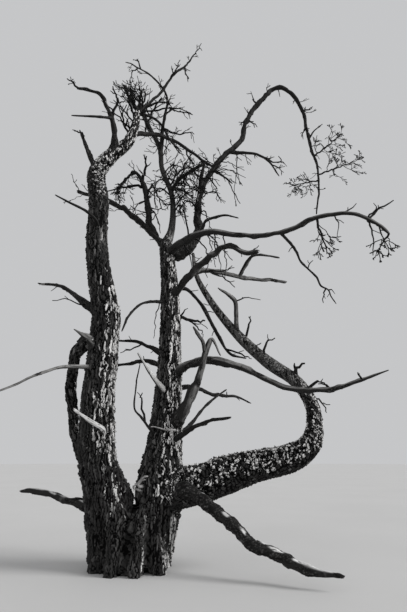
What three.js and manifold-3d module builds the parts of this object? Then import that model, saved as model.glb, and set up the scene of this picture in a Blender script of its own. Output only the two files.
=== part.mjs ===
// A dead pine tree with three stems on one base: bare limbs with bark below and grey wood above.
// Millimetres, +Z up, the origin in the middle of the flat cut at ground level.
import * as THREE from "three";
import { mergeVertices } from "three/addons/utils/BufferGeometryUtils.js";
import Module from "manifold-3d";

const wasm = await Module();
wasm.setup();

// Driving dimensions
const clearGap = 0.35;
const forkHeight = 700;
const stepLength = 270;
const collarSwell = 0.3;
const collarReach = 2.4;
const stemSides = 14;
const stemLeast = 300;
const boughSides = 8;
const boughLeast = 70;
const switchSides = 6;
const roomBeyondTree = 9000;

// Root flare round the base: compass direction in degrees, and how far the ridge reaches
const flareTop = 600;
const flareThickTop = 250;
const flareThickFoot = 190;
const flareRidges = [
  { toward: 202, reach: 430 },
  { toward: 238, reach: 380 },
  { toward: 275, reach: 350 },
  { toward: 318, reach: 350 },
  { toward: 38, reach: 330 },
  { toward: 84, reach: 370 },
  { toward: 138, reach: 400 },
];
const baseCore = [
  [-30, 20, -60, 520],
  [-35, 20, 360, 430],
  [-55, 10, 560, 250],
  [-70, 0, 650, 130],
];

// Each limb: the carrier it grows from, its finish, and the rows of its centre line.
// A row is x, y, z and the limb's thickness there. The first row is moved on to the
// carrier's centre line. A split names the node that goes on from that row.
const limbs = {
  left_stem: { carrier: null, finish: "bark", rows: [
    [-270, -60, -60, 415], [-310, -90, 520, 465], [-370, -105, 820, 445], [-440, -120, 1080, 410],
    [-480, -150, 1610, 375], [-450, -180, 2290, 347], [-440, -200, 2710, 340], [-550, -240, 3260, 277],
    [-600, -270, 3710, 256], [-600, -290, 4180, 244], [-650, -300, 4560, 229], [-500, -290, 4820, 192],
    [-280, -260, 5070, 150], [-200, -220, 5380, 106], [-185, -205, 5600, 76]] },
  middle_stem: { carrier: null, finish: "bark", rows: [
    [150, 60, -70, 425], [200, 60, 460, 520], [220, 60, 870, 495], [270, 80, 1300, 401],
    [290, 100, 1750, 332], [300, 130, 2360, 270], [290, 170, 3010, 240], [240, 210, 3550, 204],
    [210, 230, 3800, 166], [270, 250, 4020, 98], [290, 280, 4300, 82], [260, 320, 4640, 72],
    [110, 370, 5080, 69], [70, 400, 5430, 76], [-80, 440, 5790, 58], [-200, 460, 6100, 48],
    [-290, 480, 6350, 38]] },
  leaning_stem: { carrier: "middle_stem", finish: "bark", split: { row: 6, name: "leaning_stem_rise" }, rows: [
    [400, 60, 740, 460], [680, 40, 830, 436], [970, 15, 940, 411], [1260, -20, 1020, 358],
    [1560, -70, 1080, 320], [1770, -120, 1160, 286], [1900, -165, 1290, 235], [1935, -190, 1460, 184],
    [1910, -190, 1700, 162], [1770, -140, 1940, 149], [1450, -40, 2200, 146], [1100, 60, 2570, 116],
    [800, 140, 3000, 84], [620, 190, 3360, 64], [570, 230, 3700, 42]] },
  riser: { carrier: "middle_stem", finish: "grey", split: { row: 10, name: "arch_fall" }, rows: [
    [240, 220, 3700, 165], [480, 300, 3790, 146], [620, 370, 4060, 110], [630, 440, 4410, 92],
    [670, 520, 4810, 84], [820, 600, 5180, 75], [1050, 680, 5540, 74], [1290, 760, 5840, 72],
    [1400, 830, 6260, 71], [1670, 910, 6760, 72], [1980, 980, 7040, 70], [2250, 1040, 6910, 61],
    [2400, 1080, 6560, 56], [2440, 1080, 6070, 46], [2540, 1050, 5520, 36], [2510, 1000, 5090, 28],
    [2440, 930, 4650, 20]] },
  level_bough: { carrier: "middle_stem", finish: "grey", rows: [
    [240, 220, 3680, 119], [390, 50, 3750, 91], [730, -160, 3800, 75], [1160, -400, 3660, 61],
    [1600, -620, 3570, 55], [2000, -820, 3690, 52], [2320, -980, 3620, 43], [2570, -1080, 3420, 38],
    [2630, -1110, 3330, 26]] },
  shoulder_bough: { carrier: "middle_stem", finish: "grey", rows: [
    [290, 170, 3050, 108], [450, -20, 3160, 85], [640, -200, 3330, 72], [830, -330, 3440, 68],
    [920, -400, 3500, 66], [1070, -510, 3450, 62], [1150, -560, 3370, 58], [1210, -600, 3340, 60],
    [1330, -660, 3340, 56]] },
  drooping_bough: { carrier: "middle_stem", finish: "pale", rows: [
    [300, 60, 800, 165], [550, -160, 760, 149], [810, -290, 630, 134], [1010, -400, 490, 115],
    [1200, -520, 310, 111], [1440, -640, 230, 98], [1640, -760, 160, 91], [1930, -900, 130, 31]] },
  sweeping_bough: { carrier: "middle_stem", finish: "grey", rows: [
    [280, 110, 2010, 120], [510, 0, 2140, 95], [850, -120, 2190, 84], [1240, -270, 2030, 70],
    [1600, -440, 1840, 60], [1930, -620, 1790, 50], [2240, -800, 1840, 40], [2520, -960, 1930, 14]] },
  forked_snag: { carrier: "middle_stem", finish: "grey", rows: [
    [330, 80, 1390, 180], [510, -130, 1650, 122], [650, -250, 1950, 78], [730, -330, 2260, 62],
    [800, -360, 2380, 41], [900, -390, 2200, 18]] },
  behind_bough: { carrier: "middle_stem", finish: "grey", rows: [
    [220, 230, 3770, 106], [20, 310, 4020, 82], [-320, 450, 4400, 74], [-680, 600, 4690, 66],
    [-1190, 760, 4930, 46]] },
  drooping_left_bough: { carrier: "left_stem", finish: "bark", rows: [
    [-450, -180, 2330, 151], [-650, -170, 2400, 146], [-770, -120, 2280, 128], [-820, -60, 2060, 117],
    [-820, 0, 1770, 110], [-770, 60, 1410, 103], [-680, 110, 1100, 88]] },
  low_left_bough: { carrier: "left_stem", finish: "pale", rows: [
    [-330, -90, 540, 110], [-620, -20, 630, 80], [-970, 120, 710, 67], [-1230, 240, 760, 57],
    [-1410, 320, 740, 32]] },
  collar_snag: { carrier: "left_stem", finish: "grey", rows: [
    [-450, -190, 2270, 116], [-570, -300, 2390, 91], [-650, -360, 2440, 45], [-740, -420, 2490, 12]] },
  left_bough: { carrier: "left_stem", finish: "grey", rows: [
    [-440, -200, 2670, 118], [-720, -80, 2890, 85], [-970, 100, 3110, 58], [-1260, 300, 3280, 39],
    [-1530, 460, 3350, 18]] },
  back_left_bough: { carrier: "left_stem", finish: "grey", rows: [
    [-440, -200, 2790, 105], [-610, 250, 3150, 84], [-790, 750, 3650, 64], [-980, 1250, 4220, 38]] },
  back_bough: { carrier: "middle_stem", finish: "grey", rows: [
    [295, 140, 2480, 110], [260, 550, 2830, 87], [200, 1050, 3300, 66], [140, 1500, 3810, 38]] },
  long_left_bough: { carrier: "left_stem", finish: "grey", rows: [
    [-450, -180, 2110, 58], [-660, -400, 2070, 42], [-830, -560, 2040, 35], [-990, -700, 1940, 31],
    [-1200, -850, 1790, 22], [-1450, -980, 1650, 11]] },
  pale_snag: { carrier: "left_stem", finish: "pale", rows: [
    [-460, -130, 1380, 58], [-350, -390, 1400, 52], [-480, -520, 1490, 42], [-610, -640, 1580, 32]] },
  grey_bough: { carrier: "left_stem", finish: "grey", rows: [
    [-600, -280, 3770, 50], [-580, -430, 3820, 41], [-660, -560, 3870, 33], [-800, -700, 3910, 28],
    [-950, -850, 3940, 18]] },
  top_left_snag: { carrier: "left_stem", finish: "grey", rows: [
    [-650, -300, 4600, 80], [-800, -230, 4950, 55], [-920, -150, 5240, 35], [-980, -100, 5380, 20]] },
  crook_bough: { carrier: "left_stem", finish: "grey", rows: [
    [-560, -300, 4780, 110], [-440, -380, 4960, 80], [-460, -500, 5250, 60], [-540, -560, 5420, 50],
    [-610, -630, 5520, 42], [-690, -650, 5540, 36], [-870, -680, 5560, 34]] },
  crossing_bough: { carrier: "left_stem", finish: "grey", rows: [
    [-240, -240, 5200, 66], [-50, 0, 5390, 55], [110, 250, 5530, 52], [370, 500, 5570, 45],
    [740, 750, 5450, 34], [1150, 900, 5160, 18]] },
  crook_arm: { carrier: "crook_bough", finish: "grey", rows: [
    [-500, -560, 5220, 38], [-600, -620, 5170, 30], [-760, -680, 5130, 25], [-900, -720, 5110, 14]] },
  crown_side_bough: { carrier: "left_stem", finish: "grey", rows: [
    [-190, -210, 5560, 46], [-20, -60, 5620, 36], [110, 40, 5580, 32], [240, 130, 5380, 28],
    [400, 200, 5240, 16]] },
  sky_twig: { carrier: "left_stem", finish: "grey", rows: [
    [-185, -205, 5560, 44], [10, -100, 5890, 40], [130, -20, 6110, 37], [280, 60, 6470, 35],
    [460, 110, 6680, 30]] },
  small_stem: { carrier: "behind_bough", finish: "grey", rows: [
    [60, 290, 3960, 92], [-40, 430, 4230, 92], [-110, 560, 4620, 84], [-200, 650, 5020, 64],
    [-290, 680, 5180, 50], [-380, 700, 5240, 40]] },
  arch_twig: { carrier: "middle_stem", finish: "grey", rows: [
    [290, 170, 2990, 43], [80, 20, 2950, 35], [-80, -100, 2860, 30], [-180, -240, 2660, 26],
    [-220, -370, 2480, 18]] },
  upper_gap_bough: { carrier: "middle_stem", finish: "grey", rows: [
    [295, 120, 2260, 73], [50, 250, 2430, 50], [-150, 340, 2520, 38], [-470, 450, 2570, 24]] },
  lower_gap_bough: { carrier: "middle_stem", finish: "grey", rows: [
    [290, 120, 2130, 61], [30, 260, 2250, 50], [-240, 400, 2250, 41], [-620, 560, 2200, 26]] },
  pale_fork: { carrier: "middle_stem", finish: "pale", rows: [
    [290, 100, 1790, 62], [200, -140, 1920, 51], [100, -320, 2060, 39], [-10, -480, 2210, 22]] },
  low_twig: { carrier: "middle_stem", finish: "grey", rows: [
    [270, 80, 1300, 39], [120, -100, 1410, 31], [30, -220, 1540, 24], [-40, -290, 1620, 19],
    [-30, -330, 1870, 17], [0, -350, 2110, 13]] },
  low_back_bough: { carrier: "middle_stem", finish: "grey", rows: [
    [290, 110, 1900, 64], [550, 320, 1940, 52], [870, 530, 1870, 43], [1130, 720, 1870, 31],
    [1340, 860, 1800, 16]] },
  low_crossing_bough: { carrier: "middle_stem", finish: "grey", rows: [
    [280, 80, 1290, 62], [510, 280, 1450, 45], [740, 450, 1730, 35], [1000, 600, 1940, 17]] },
  low_right_bough: { carrier: "middle_stem", finish: "grey", rows: [
    [270, 80, 1230, 69], [550, -170, 1400, 51], [770, -360, 1490, 36], [990, -540, 1510, 21]] },
  companion_bough: { carrier: "middle_stem", finish: "grey", rows: [
    [285, 180, 3160, 56], [480, 300, 3210, 46], [670, 420, 3050, 44], [890, 560, 2690, 44],
    [1070, 680, 2430, 36], [1290, 760, 2390, 18]] },
  leader_arm: { carrier: "middle_stem", finish: "grey", rows: [
    [260, 330, 4680, 62], [320, 260, 4760, 54], [430, 160, 4840, 50], [550, 90, 4870, 46],
    [690, 30, 4920, 40]] },
  leader_fork: { carrier: "middle_stem", finish: "grey", rows: [
    [75, 400, 5380, 70], [100, 340, 5630, 53], [140, 270, 5890, 44], [200, 210, 6120, 28]] },
  riser_snag: { carrier: "riser", finish: "grey", rows: [
    [660, 500, 4680, 66], [690, 400, 4950, 56], [730, 330, 5160, 34]] },
  arch_arm: { carrier: "riser", finish: "grey", rows: [
    [1070, 690, 5580, 58], [1360, 560, 5480, 42], [1620, 420, 5280, 32], [1780, 320, 4930, 18]] },
  level_bough_hanger: { carrier: "level_bough", finish: "grey", rows: [
    [1600, -620, 3570, 34], [1790, -600, 3340, 25], [1990, -540, 3060, 20], [2230, -460, 2770, 11]] },
  hook_twig: { carrier: "level_bough", finish: "grey", rows: [
    [640, -120, 3840, 46], [700, -170, 3870, 38], [730, -210, 3930, 34], [800, -250, 3960, 32],
    [960, -330, 3960, 28], [1130, -410, 3870, 16]] },
  shoulder_arm: { carrier: "shoulder_bough", finish: "grey", rows: [
    [570, -130, 3260, 66], [750, 40, 3380, 66], [1140, 300, 3400, 58], [1520, 520, 3430, 48],
    [1880, 700, 3470, 38]] },
  shoulder_spur: { carrier: "shoulder_arm", finish: "grey", rows: [
    [1200, 310, 3450, 46], [1260, 250, 3540, 46], [1320, 200, 3610, 44], [1390, 150, 3630, 34],
    [1540, 60, 3580, 28], [1670, -20, 3520, 20]] },
  forked_snag_arm: { carrier: "forked_snag", finish: "grey", rows: [
    [730, -330, 2250, 52], [690, -400, 2370, 43], [600, -460, 2500, 33]] },
  rise_snag_high: { carrier: "leaning_stem_rise", finish: "grey", rows: [
    [1110, 60, 2560, 76], [1100, 0, 2750, 58], [1090, -40, 2920, 52], [1000, -80, 3020, 40],
    [890, -110, 3090, 18]] },
  sky_twig_left: { carrier: "leader_fork", finish: "grey", rows: [
    [180, 220, 6060, 35], [150, 190, 6240, 30], [-40, 120, 6470, 25], [-300, 40, 6600, 21],
    [-430, 0, 6630, 14]] },
};

// Each mass of twigs: the limb whose tip (or, with a place, whose side) carries it, the middle
// and half sizes of the space it keeps to, its habit and the seed of its rule
const masses = {
  crown_twigs: {
    carrier: "left_stem", habit: "whorl", middle: [-310, -200, 5850], half: [290, 270, 330], seed: 11,
  },
  crook_twigs: {
    carrier: "crook_bough", habit: "spurs", middle: [-950, -700, 5630], half: [170, 160, 160], seed: 22,
  },
  sky_twigs: {
    carrier: "sky_twig", habit: "spurs", middle: [590, 130, 6930], half: [190, 170, 270], seed: 33,
  },
  leader_twigs: {
    carrier: "middle_stem", habit: "whorl", middle: [-390, 510, 6500], half: [250, 240, 280], seed: 44,
  },
  tangle_twigs: {
    carrier: "leader_arm", place: [430, 160, 4840], habit: "tangle",
    middle: [450, 60, 4570], half: [380, 320, 420], seed: 55,
  },
  small_stem_twigs: {
    carrier: "small_stem", habit: "hanging", middle: [-520, 760, 5080], half: [260, 240, 330], seed: 66,
  },
  arch_twigs: {
    carrier: "arch_fall", place: [2530, 1030, 5300], habit: "spray",
    middle: [2260, 1000, 5220], half: [300, 260, 340], seed: 77,
  },
  arch_spray_twigs: {
    carrier: "arch_fall", place: [2550, 1050, 5400], habit: "spray",
    middle: [2970, 1080, 5610], half: [440, 340, 420], seed: 88,
  },
  arch_upper_twigs: {
    carrier: "arch_fall", place: [2510, 1060, 5770], habit: "spray",
    middle: [2780, 1030, 5980], half: [370, 290, 380], seed: 99,
  },
  level_tip_twigs: {
    carrier: "level_bough", habit: "hanging", middle: [2540, -1110, 3210], half: [200, 190, 220], seed: 122,
  },
  level_drop_twigs: {
    carrier: "level_bough", place: [1980, -800, 3660], habit: "hanging",
    middle: [2020, -810, 3420], half: [270, 230, 270], seed: 111,
  },
};

// How each habit branches, order by order: the number of twigs on one of the order before, their
// length and thickness as shares of it, how far they spread, and how much they turn down
const habits = {
  whorl: [
    { steps: 2, count: 8, length: 0.85, thick: 0.42, spread: 44, droop: -0.2 },
    { steps: 1, count: 2, length: 0.5, thick: 0.55, spread: 46, droop: 0 },
    { steps: 1 },
  ],
  spurs: [
    { steps: 2, count: 5, length: 0.45, thick: 0.45, spread: 62, droop: 0 },
    { steps: 1, count: 1, length: 0.5, thick: 0.6, spread: 45, droop: 0 },
    { steps: 1 },
  ],
  spray: [
    { steps: 2, count: 9, length: 0.85, thick: 0.5, spread: 50, droop: 0.25 },
    { steps: 1, count: 2, length: 0.55, thick: 0.65, spread: 45, droop: 0.2 },
    { steps: 1 },
  ],
  hanging: [
    { steps: 2, count: 7, length: 1, thick: 0.5, spread: 40, droop: 0.5 },
    { steps: 1, count: 2, length: 0.5, thick: 0.65, spread: 40, droop: 0.3 },
    { steps: 1 },
  ],
  tangle: [
    { steps: 2, count: 14, length: 1.05, thick: 0.5, spread: 74, droop: 0 },
    { steps: 1, count: 3, length: 0.6, thick: 0.65, spread: 55, droop: 0 },
    { steps: 1 },
  ],
};

// The rule that every mass of twigs follows
const twigRule = {
  sides: 3,
  stemThick: 30,
  stemReach: 1.75,
  firstShare: 0.12,
  lastShare: 0.94,
  bend: 0.28,
  tipThick: 0.5,
  leastThick: 8,
  clearOfLimbs: 12,
  turn: 137.5,
  tries: 3,
  shorter: 0.7,
};

const finishes = {
  bark: new THREE.MeshStandardMaterial({ color: 0x45423f, roughness: 0.95, metalness: 0 }),
  grey: new THREE.MeshStandardMaterial({ color: 0x5b5956, roughness: 0.85, metalness: 0 }),
  pale: new THREE.MeshStandardMaterial({ color: 0xb3afa8, roughness: 0.8, metalness: 0 }),
  twigs: new THREE.MeshStandardMaterial({ color: 0x4a4846, roughness: 0.9, metalness: 0 }),
};

// Solids

function solidOf(geometry) {
  geometry.deleteAttribute("normal");
  geometry.deleteAttribute("uv");
  const merged = mergeVertices(geometry);
  return new wasm.Manifold(new wasm.Mesh({
    numProp: 3,
    vertProperties: new Float32Array(merged.attributes.position.array),
    triVerts: new Uint32Array(merged.index.array),
  }));
}

function geometryOf(solid) {
  const mesh = solid.getMesh();
  const geometry = new THREE.BufferGeometry();
  geometry.setAttribute("position", new THREE.BufferAttribute(new Float32Array(mesh.vertProperties), 3));
  geometry.setIndex(new THREE.BufferAttribute(new Uint32Array(mesh.triVerts), 1));
  geometry.computeVertexNormals();
  return geometry;
}

function largestPiece(solid) {
  const pieces = solid.decompose();
  return pieces.reduce((best, piece) => (piece.volume() > best.volume() ? piece : best));
}

// A layer of space between two heights, for cutting a stem level
function layer(low, high) {
  const box = new THREE.BoxGeometry(2 * roomBeyondTree, 2 * roomBeyondTree, high - low);
  box.translate(0, 0, (low + high) / 2);
  return solidOf(box);
}

// Centre lines

function centreLine(rows) {
  const points = rows.map(([x, y, z]) => new THREE.Vector3(x, y, z));
  const curve = new THREE.CatmullRomCurve3(points);
  const last = rows.length - 1;
  return {
    last,
    point: (row) => curve.getPoint(row / last),
    thickness(row) {
      const before = Math.min(Math.floor(row), last - 1);
      return THREE.MathUtils.lerp(rows[before][3], rows[before + 1][3], row - before);
    },
  };
}

function nearestOn(line, target) {
  const parts = 24 * line.last;
  let best = { distance: Infinity };
  for (let i = 0; i <= parts; i += 1) {
    const row = (i / parts) * line.last;
    const point = line.point(row);
    const distance = point.distanceTo(target);
    if (distance < best.distance) {
      best = { distance, point, row };
    }
  }
  return best;
}

function lengthBetween(line, from, to) {
  const parts = 16;
  let length = 0;
  for (let i = 0; i < parts; i += 1) {
    const here = line.point(from + ((to - from) * i) / parts);
    const next = line.point(from + ((to - from) * (i + 1)) / parts);
    length += here.distanceTo(next);
  }
  return length;
}

// A closed round tube bent along a centre line: the side vectors are carried from ring to ring.
// A grown tube is wider by that much and longer at both ends.
function bentTube(line, { from = 0, to = line.last, sides, steps, radius, grow = 0 }) {
  const geometry = new THREE.CylinderGeometry(1, 1, 1, sides, steps);
  const rings = [];
  let side = null;
  for (let i = 0; i <= steps; i += 1) {
    const row = from + ((to - from) * i) / steps;
    const small = 0.01;
    const ahead = line.point(Math.min(row + small, line.last));
    const along = ahead.sub(line.point(Math.max(row - small, 0))).normalize();
    side ??= new THREE.Vector3(0.3, 1, 0.2);
    side = side.clone().addScaledVector(along, -side.dot(along)).normalize();
    const centre = line.point(row);
    if (i === 0 || i === steps) {
      centre.addScaledVector(along, i === 0 ? -grow : grow);
    }
    rings.push({ centre, side, other: side.clone().cross(along), radius: radius(row) + grow });
  }
  const position = geometry.attributes.position;
  for (let i = 0; i < position.count; i += 1) {
    const ring = rings[Math.round((position.getY(i) + 0.5) * steps)];
    const place = ring.centre.clone();
    place.addScaledVector(ring.side, position.getX(i) * ring.radius);
    place.addScaledVector(ring.other, position.getZ(i) * ring.radius);
    position.setXYZ(i, place.x, place.y, place.z);
  }
  return solidOf(geometry);
}

// Limbs

function startOnCarrier(limb, carrierLine) {
  if (carrierLine === null) {
    return limb.rows;
  }
  const [x, y, z, thickness] = limb.rows[0];
  const start = nearestOn(carrierLine, new THREE.Vector3(x, y, z)).point;
  return [[start.x, start.y, start.z, thickness], ...limb.rows.slice(1)];
}

// A limb swells where it leaves a carrier that is thicker than it
function limbRadius(line, carrierRadius) {
  const start = line.point(0);
  const swell = carrierRadius > 0 ? collarSwell * Math.max(0, 1 - line.thickness(0) / 2 / carrierRadius) : 0;
  return (row) => {
    const away = carrierRadius > 0 ? line.point(row).distanceTo(start) / (collarReach * carrierRadius) : 1;
    return (line.thickness(row) / 2) * (1 + swell * Math.max(0, 1 - away));
  };
}

function sidesFor(thickness) {
  if (thickness >= stemLeast) {
    return stemSides;
  }
  return thickness >= boughLeast ? boughSides : switchSides;
}

function limbTube(limb, grow, from, to) {
  const length = lengthBetween(limb.line, from, to);
  return bentTube(limb.line, {
    from,
    to,
    sides: sidesFor(limb.rows[0][3]),
    steps: Math.max(2 * Math.ceil(to - from), Math.round(length / stepLength)),
    radius: limb.radius,
    grow,
  });
}

// The node or two nodes that a limb gives, each with the row that it starts and ends at
function stretchesOf(name, limb) {
  if (!limb.split) {
    return [{ name, from: 0, to: limb.line.last }];
  }
  return [
    { name, from: 0, to: limb.split.row },
    { name: limb.split.name, from: limb.split.row, to: limb.line.last },
  ];
}

function baseSolid(stemTubes, grow) {
  const core = centreLine(baseCore);
  const parts = [
    ...stemTubes,
    bentTube(core, { sides: stemSides, steps: 4, radius: (row) => core.thickness(row) / 2, grow }),
  ];
  for (const ridge of flareRidges) {
    const angle = THREE.MathUtils.degToRad(ridge.toward);
    const [x, y] = [Math.cos(angle) * ridge.reach, Math.sin(angle) * ridge.reach];
    const line = centreLine([
      [x * 0.5, y * 0.5, flareTop, flareThickTop],
      [x * 0.78, y * 0.78, flareTop * 0.35, flareThickTop],
      [x, y, -flareThickFoot / 2, flareThickFoot],
    ]);
    parts.push(bentTube(line, {
      sides: boughSides, steps: 4, radius: (row) => line.thickness(row) / 2, grow,
    }));
  }
  return wasm.Manifold.union(parts).intersect(layer(0, forkHeight + grow));
}

// Twigs

// A small seeded generator of numbers from 0 to 1
function randomFrom(seed) {
  let state = seed >>> 0;
  return () => {
    state = (state + 0x6d2b79f5) >>> 0;
    let mixed = Math.imul(state ^ (state >>> 15), state | 1);
    mixed ^= mixed + Math.imul(mixed ^ (mixed >>> 7), mixed | 61);
    return ((mixed ^ (mixed >>> 14)) >>> 0) / 4294967296;
  };
}

function twigRows({ start, heading, length, sway, thickness }) {
  const middle = start.clone().addScaledVector(heading, length / 2).addScaledVector(sway, length / 4);
  const end = start.clone().addScaledVector(heading, length).addScaledVector(sway, length / 9);
  const tipThickness = Math.max(thickness * twigRule.tipThick, twigRule.leastThick);
  return [start, middle, end].map((point, i) => (
    [point.x, point.y, point.z, THREE.MathUtils.lerp(thickness, tipThickness, i / 2)]));
}

function insideSpace(point, mass) {
  const [x, y, z] = point.toArray().map((value, i) => (value - mass.middle[i]) / mass.half[i]);
  return x * x + y * y + z * z <= 1;
}

function touchesLimb(points, thickness, limbSamples) {
  return limbSamples.some(({ point, radius }) => points.some((other) => (
    other.distanceTo(point) < radius + thickness / 2 + twigRule.clearOfLimbs)));
}

// One twig and, from its own seed, the twigs that branch off it down to the last order.
// A twig that would leave its space or touch a limb is tried shorter, and then skipped.
function growTwigs(twig, order, seed, mass, limbSamples, found) {
  let line;
  let length = twig.length;
  let fits = false;
  for (let i = 0; i < twigRule.tries && !fits; i += 1) {
    line = centreLine(twigRows({ ...twig, length }));
    const points = [0.5, 1, 1.5, 2].map((row) => line.point(row));
    const inside = points.every((point) => insideSpace(point, mass));
    fits = order === 0 || (inside && !touchesLimb(points, twig.thickness, limbSamples));
    length = fits ? length : length * twigRule.shorter;
  }
  if (!fits) {
    return;
  }
  const rule = habits[mass.habit][order];
  found.push({ line, steps: rule.steps });
  const random = randomFrom(seed);
  for (let i = 0; i < (rule.count ?? 0); i += 1) {
    const share = THREE.MathUtils.lerp(twigRule.firstShare, twigRule.lastShare,
      (i + random() * 0.8) / rule.count);
    const around = THREE.MathUtils.degToRad(i * twigRule.turn + random() * 60);
    const tilt = THREE.MathUtils.degToRad(rule.spread * (0.7 + random() * 0.6));
    const full = order === 0 ? mass.half.reduce((sum, half) => sum + half) / 3 : length;
    const childLength = full * rule.length * (1.15 - 0.5 * share) * (0.8 + random() * 0.4);
    const sway = new THREE.Vector3(random() - 0.5, random() - 0.5, random() - 0.5);
    const childSeed = Math.floor(random() * 4294967296);
    const side = new THREE.Vector3(0.31, -0.52, 0.8).cross(twig.heading).normalize();
    const outward = side.applyAxisAngle(twig.heading, around);
    const heading = twig.heading.clone().multiplyScalar(Math.cos(tilt));
    heading.addScaledVector(outward, Math.sin(tilt));
    heading.z -= rule.droop;
    heading.normalize();
    const child = {
      start: line.point(2 * share),
      heading,
      length: childLength,
      sway: sway.multiplyScalar(twigRule.bend * 4),
      thickness: Math.max(line.thickness(2 * share) * rule.thick, twigRule.leastThick),
    };
    growTwigs(child, order + 1, childSeed, mass, limbSamples, found);
  }
}

function twigsOf(mass, limbSamples) {
  const carrier = lines[mass.carrier];
  const start = mass.place
    ? nearestOn(carrier.line, new THREE.Vector3(...mass.place)).point
    : carrier.line.point(carrier.line.last);
  const way = new THREE.Vector3(...mass.middle).sub(start);
  const stem = {
    start,
    length: way.length() * twigRule.stemReach,
    heading: way.clone().normalize(),
    sway: new THREE.Vector3(),
    thickness: mass.place ? twigRule.stemThick : carrier.rows.at(-1)[3] * 0.9,
  };
  const found = [];
  growTwigs(stem, 0, mass.seed, mass, limbSamples, found);
  return found;
}

function massSolid(mass, limbSamples, limbsNear) {
  const tubes = twigsOf(mass, limbSamples).map(({ line, steps }) => bentTube(line, {
    sides: twigRule.sides,
    steps,
    radius: (row) => line.thickness(row) / 2,
  }));
  let solid = wasm.Manifold.union(tubes);
  for (const limb of limbsNear) {
    solid = solid.subtract(limb);
  }
  return largestPiece(solid);
}

// The tree

const tree = new THREE.Group();

function addNode(name, solid, finish) {
  const mesh = new THREE.Mesh(geometryOf(solid), finishes[finish]);
  mesh.name = name;
  tree.add(mesh);
}

const lines = {};
for (const [name, limb] of Object.entries(limbs)) {
  const carrier = limb.carrier ? lines[limb.carrier] : null;
  const rows = startOnCarrier(limb, carrier ? carrier.line : null);
  const line = centreLine(rows);
  const carrierRadius = carrier ? carrier.radius(nearestOn(carrier.line, line.point(0)).row) : 0;
  lines[name] = { ...limb, rows, line, radius: limbRadius(line, carrierRadius) };
  if (limb.split) {
    lines[limb.split.name] = lines[name];
  }
}

const stems = [lines.left_stem, lines.middle_stem];
const stemTubes = (grow) => stems.map((stem) => limbTube(stem, grow, 0, stem.line.last));
addNode("trunk_base", baseSolid(stemTubes(0), 0), "bark");
const inTheWay = [baseSolid(stemTubes(clearGap), clearGap).add(layer(-roomBeyondTree, clearGap))];

// Every limb is cut clear of the base and of the limbs made before it
for (const [name, limb] of Object.entries(limbs)) {
  for (const stretch of stretchesOf(name, lines[name])) {
    let solid = limbTube(lines[name], 0, stretch.from, stretch.to);
    for (const other of inTheWay) {
      solid = solid.subtract(other);
    }
    addNode(stretch.name, largestPiece(solid), limb.finish);
    inTheWay.push(limbTube(lines[name], clearGap, stretch.from, stretch.to));
  }
}

const limbSamples = Object.values(lines).flatMap(({ line, radius }) => (
  Array.from({ length: 12 * line.last + 1 }, (_, i) => (
    { point: line.point(i / 12), radius: radius(i / 12) }))));
for (const [name, mass] of Object.entries(masses)) {
  addNode(name, massSolid(mass, limbSamples, inTheWay), "twigs");
}

export default tree;
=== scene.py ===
"""A dead pine tree with three stems on one base, laid out as an add-on.

Stems are one skin of fissured bark, boughs are bare weathered wood, and the crown's twigs grow by
a seeded rule. Lengths that are whole numbers are in millimetres, as a measuring tape reads, and
lengths with a decimal point are in metres.
"""

import contextlib
import math

import bmesh
import bpy
import numpy as np
from bpy.props import FloatProperty, FloatVectorProperty, IntProperty, PointerProperty
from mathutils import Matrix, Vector, kdtree, noise


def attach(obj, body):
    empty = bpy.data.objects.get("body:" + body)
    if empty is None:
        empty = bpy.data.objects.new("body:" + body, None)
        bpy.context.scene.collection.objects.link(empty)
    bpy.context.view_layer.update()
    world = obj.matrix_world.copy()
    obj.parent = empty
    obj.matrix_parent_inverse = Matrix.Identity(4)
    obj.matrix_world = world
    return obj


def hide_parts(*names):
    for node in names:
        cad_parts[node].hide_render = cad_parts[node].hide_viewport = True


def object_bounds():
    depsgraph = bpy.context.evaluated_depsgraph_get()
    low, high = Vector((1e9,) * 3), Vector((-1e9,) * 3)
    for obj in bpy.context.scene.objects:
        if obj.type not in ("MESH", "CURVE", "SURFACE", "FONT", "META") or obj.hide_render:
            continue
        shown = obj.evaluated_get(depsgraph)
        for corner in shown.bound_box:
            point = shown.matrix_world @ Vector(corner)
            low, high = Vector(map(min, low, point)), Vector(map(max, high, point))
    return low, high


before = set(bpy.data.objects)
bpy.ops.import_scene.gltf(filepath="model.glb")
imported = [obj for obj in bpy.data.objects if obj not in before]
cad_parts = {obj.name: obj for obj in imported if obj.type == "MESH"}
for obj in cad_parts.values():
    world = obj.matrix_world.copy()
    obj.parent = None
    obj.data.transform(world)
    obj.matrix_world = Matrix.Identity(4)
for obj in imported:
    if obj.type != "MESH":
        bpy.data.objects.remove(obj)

bl_info = {
    "name": "Dead Pine Tree",
    "version": (1, 0, 0),
    "blender": (4, 5, 0),
    "location": "View3D > Sidebar > Dead Pine",
    "description": "A dead pine with three stems, fissured bark, bare boughs and fine twigs",
    "category": "Object",
}

CAD_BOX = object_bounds()
MM = 0.001

# Added to a number, so that each thing that is dealt out by chance has a seed of its own
TWIG_SEED = 77
KINK_SEED = 300
KNOT_SEED = 900
TIP_SEED = 5000
SHOOT_SEED = 7000
SPLINTER_SEED = 8000
SPUR_SEED = 9000
SEED_COUNT = 2**32

# Blender's noise vectors follow the clock until they are given a seed
noise.seed_set(7)

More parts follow.
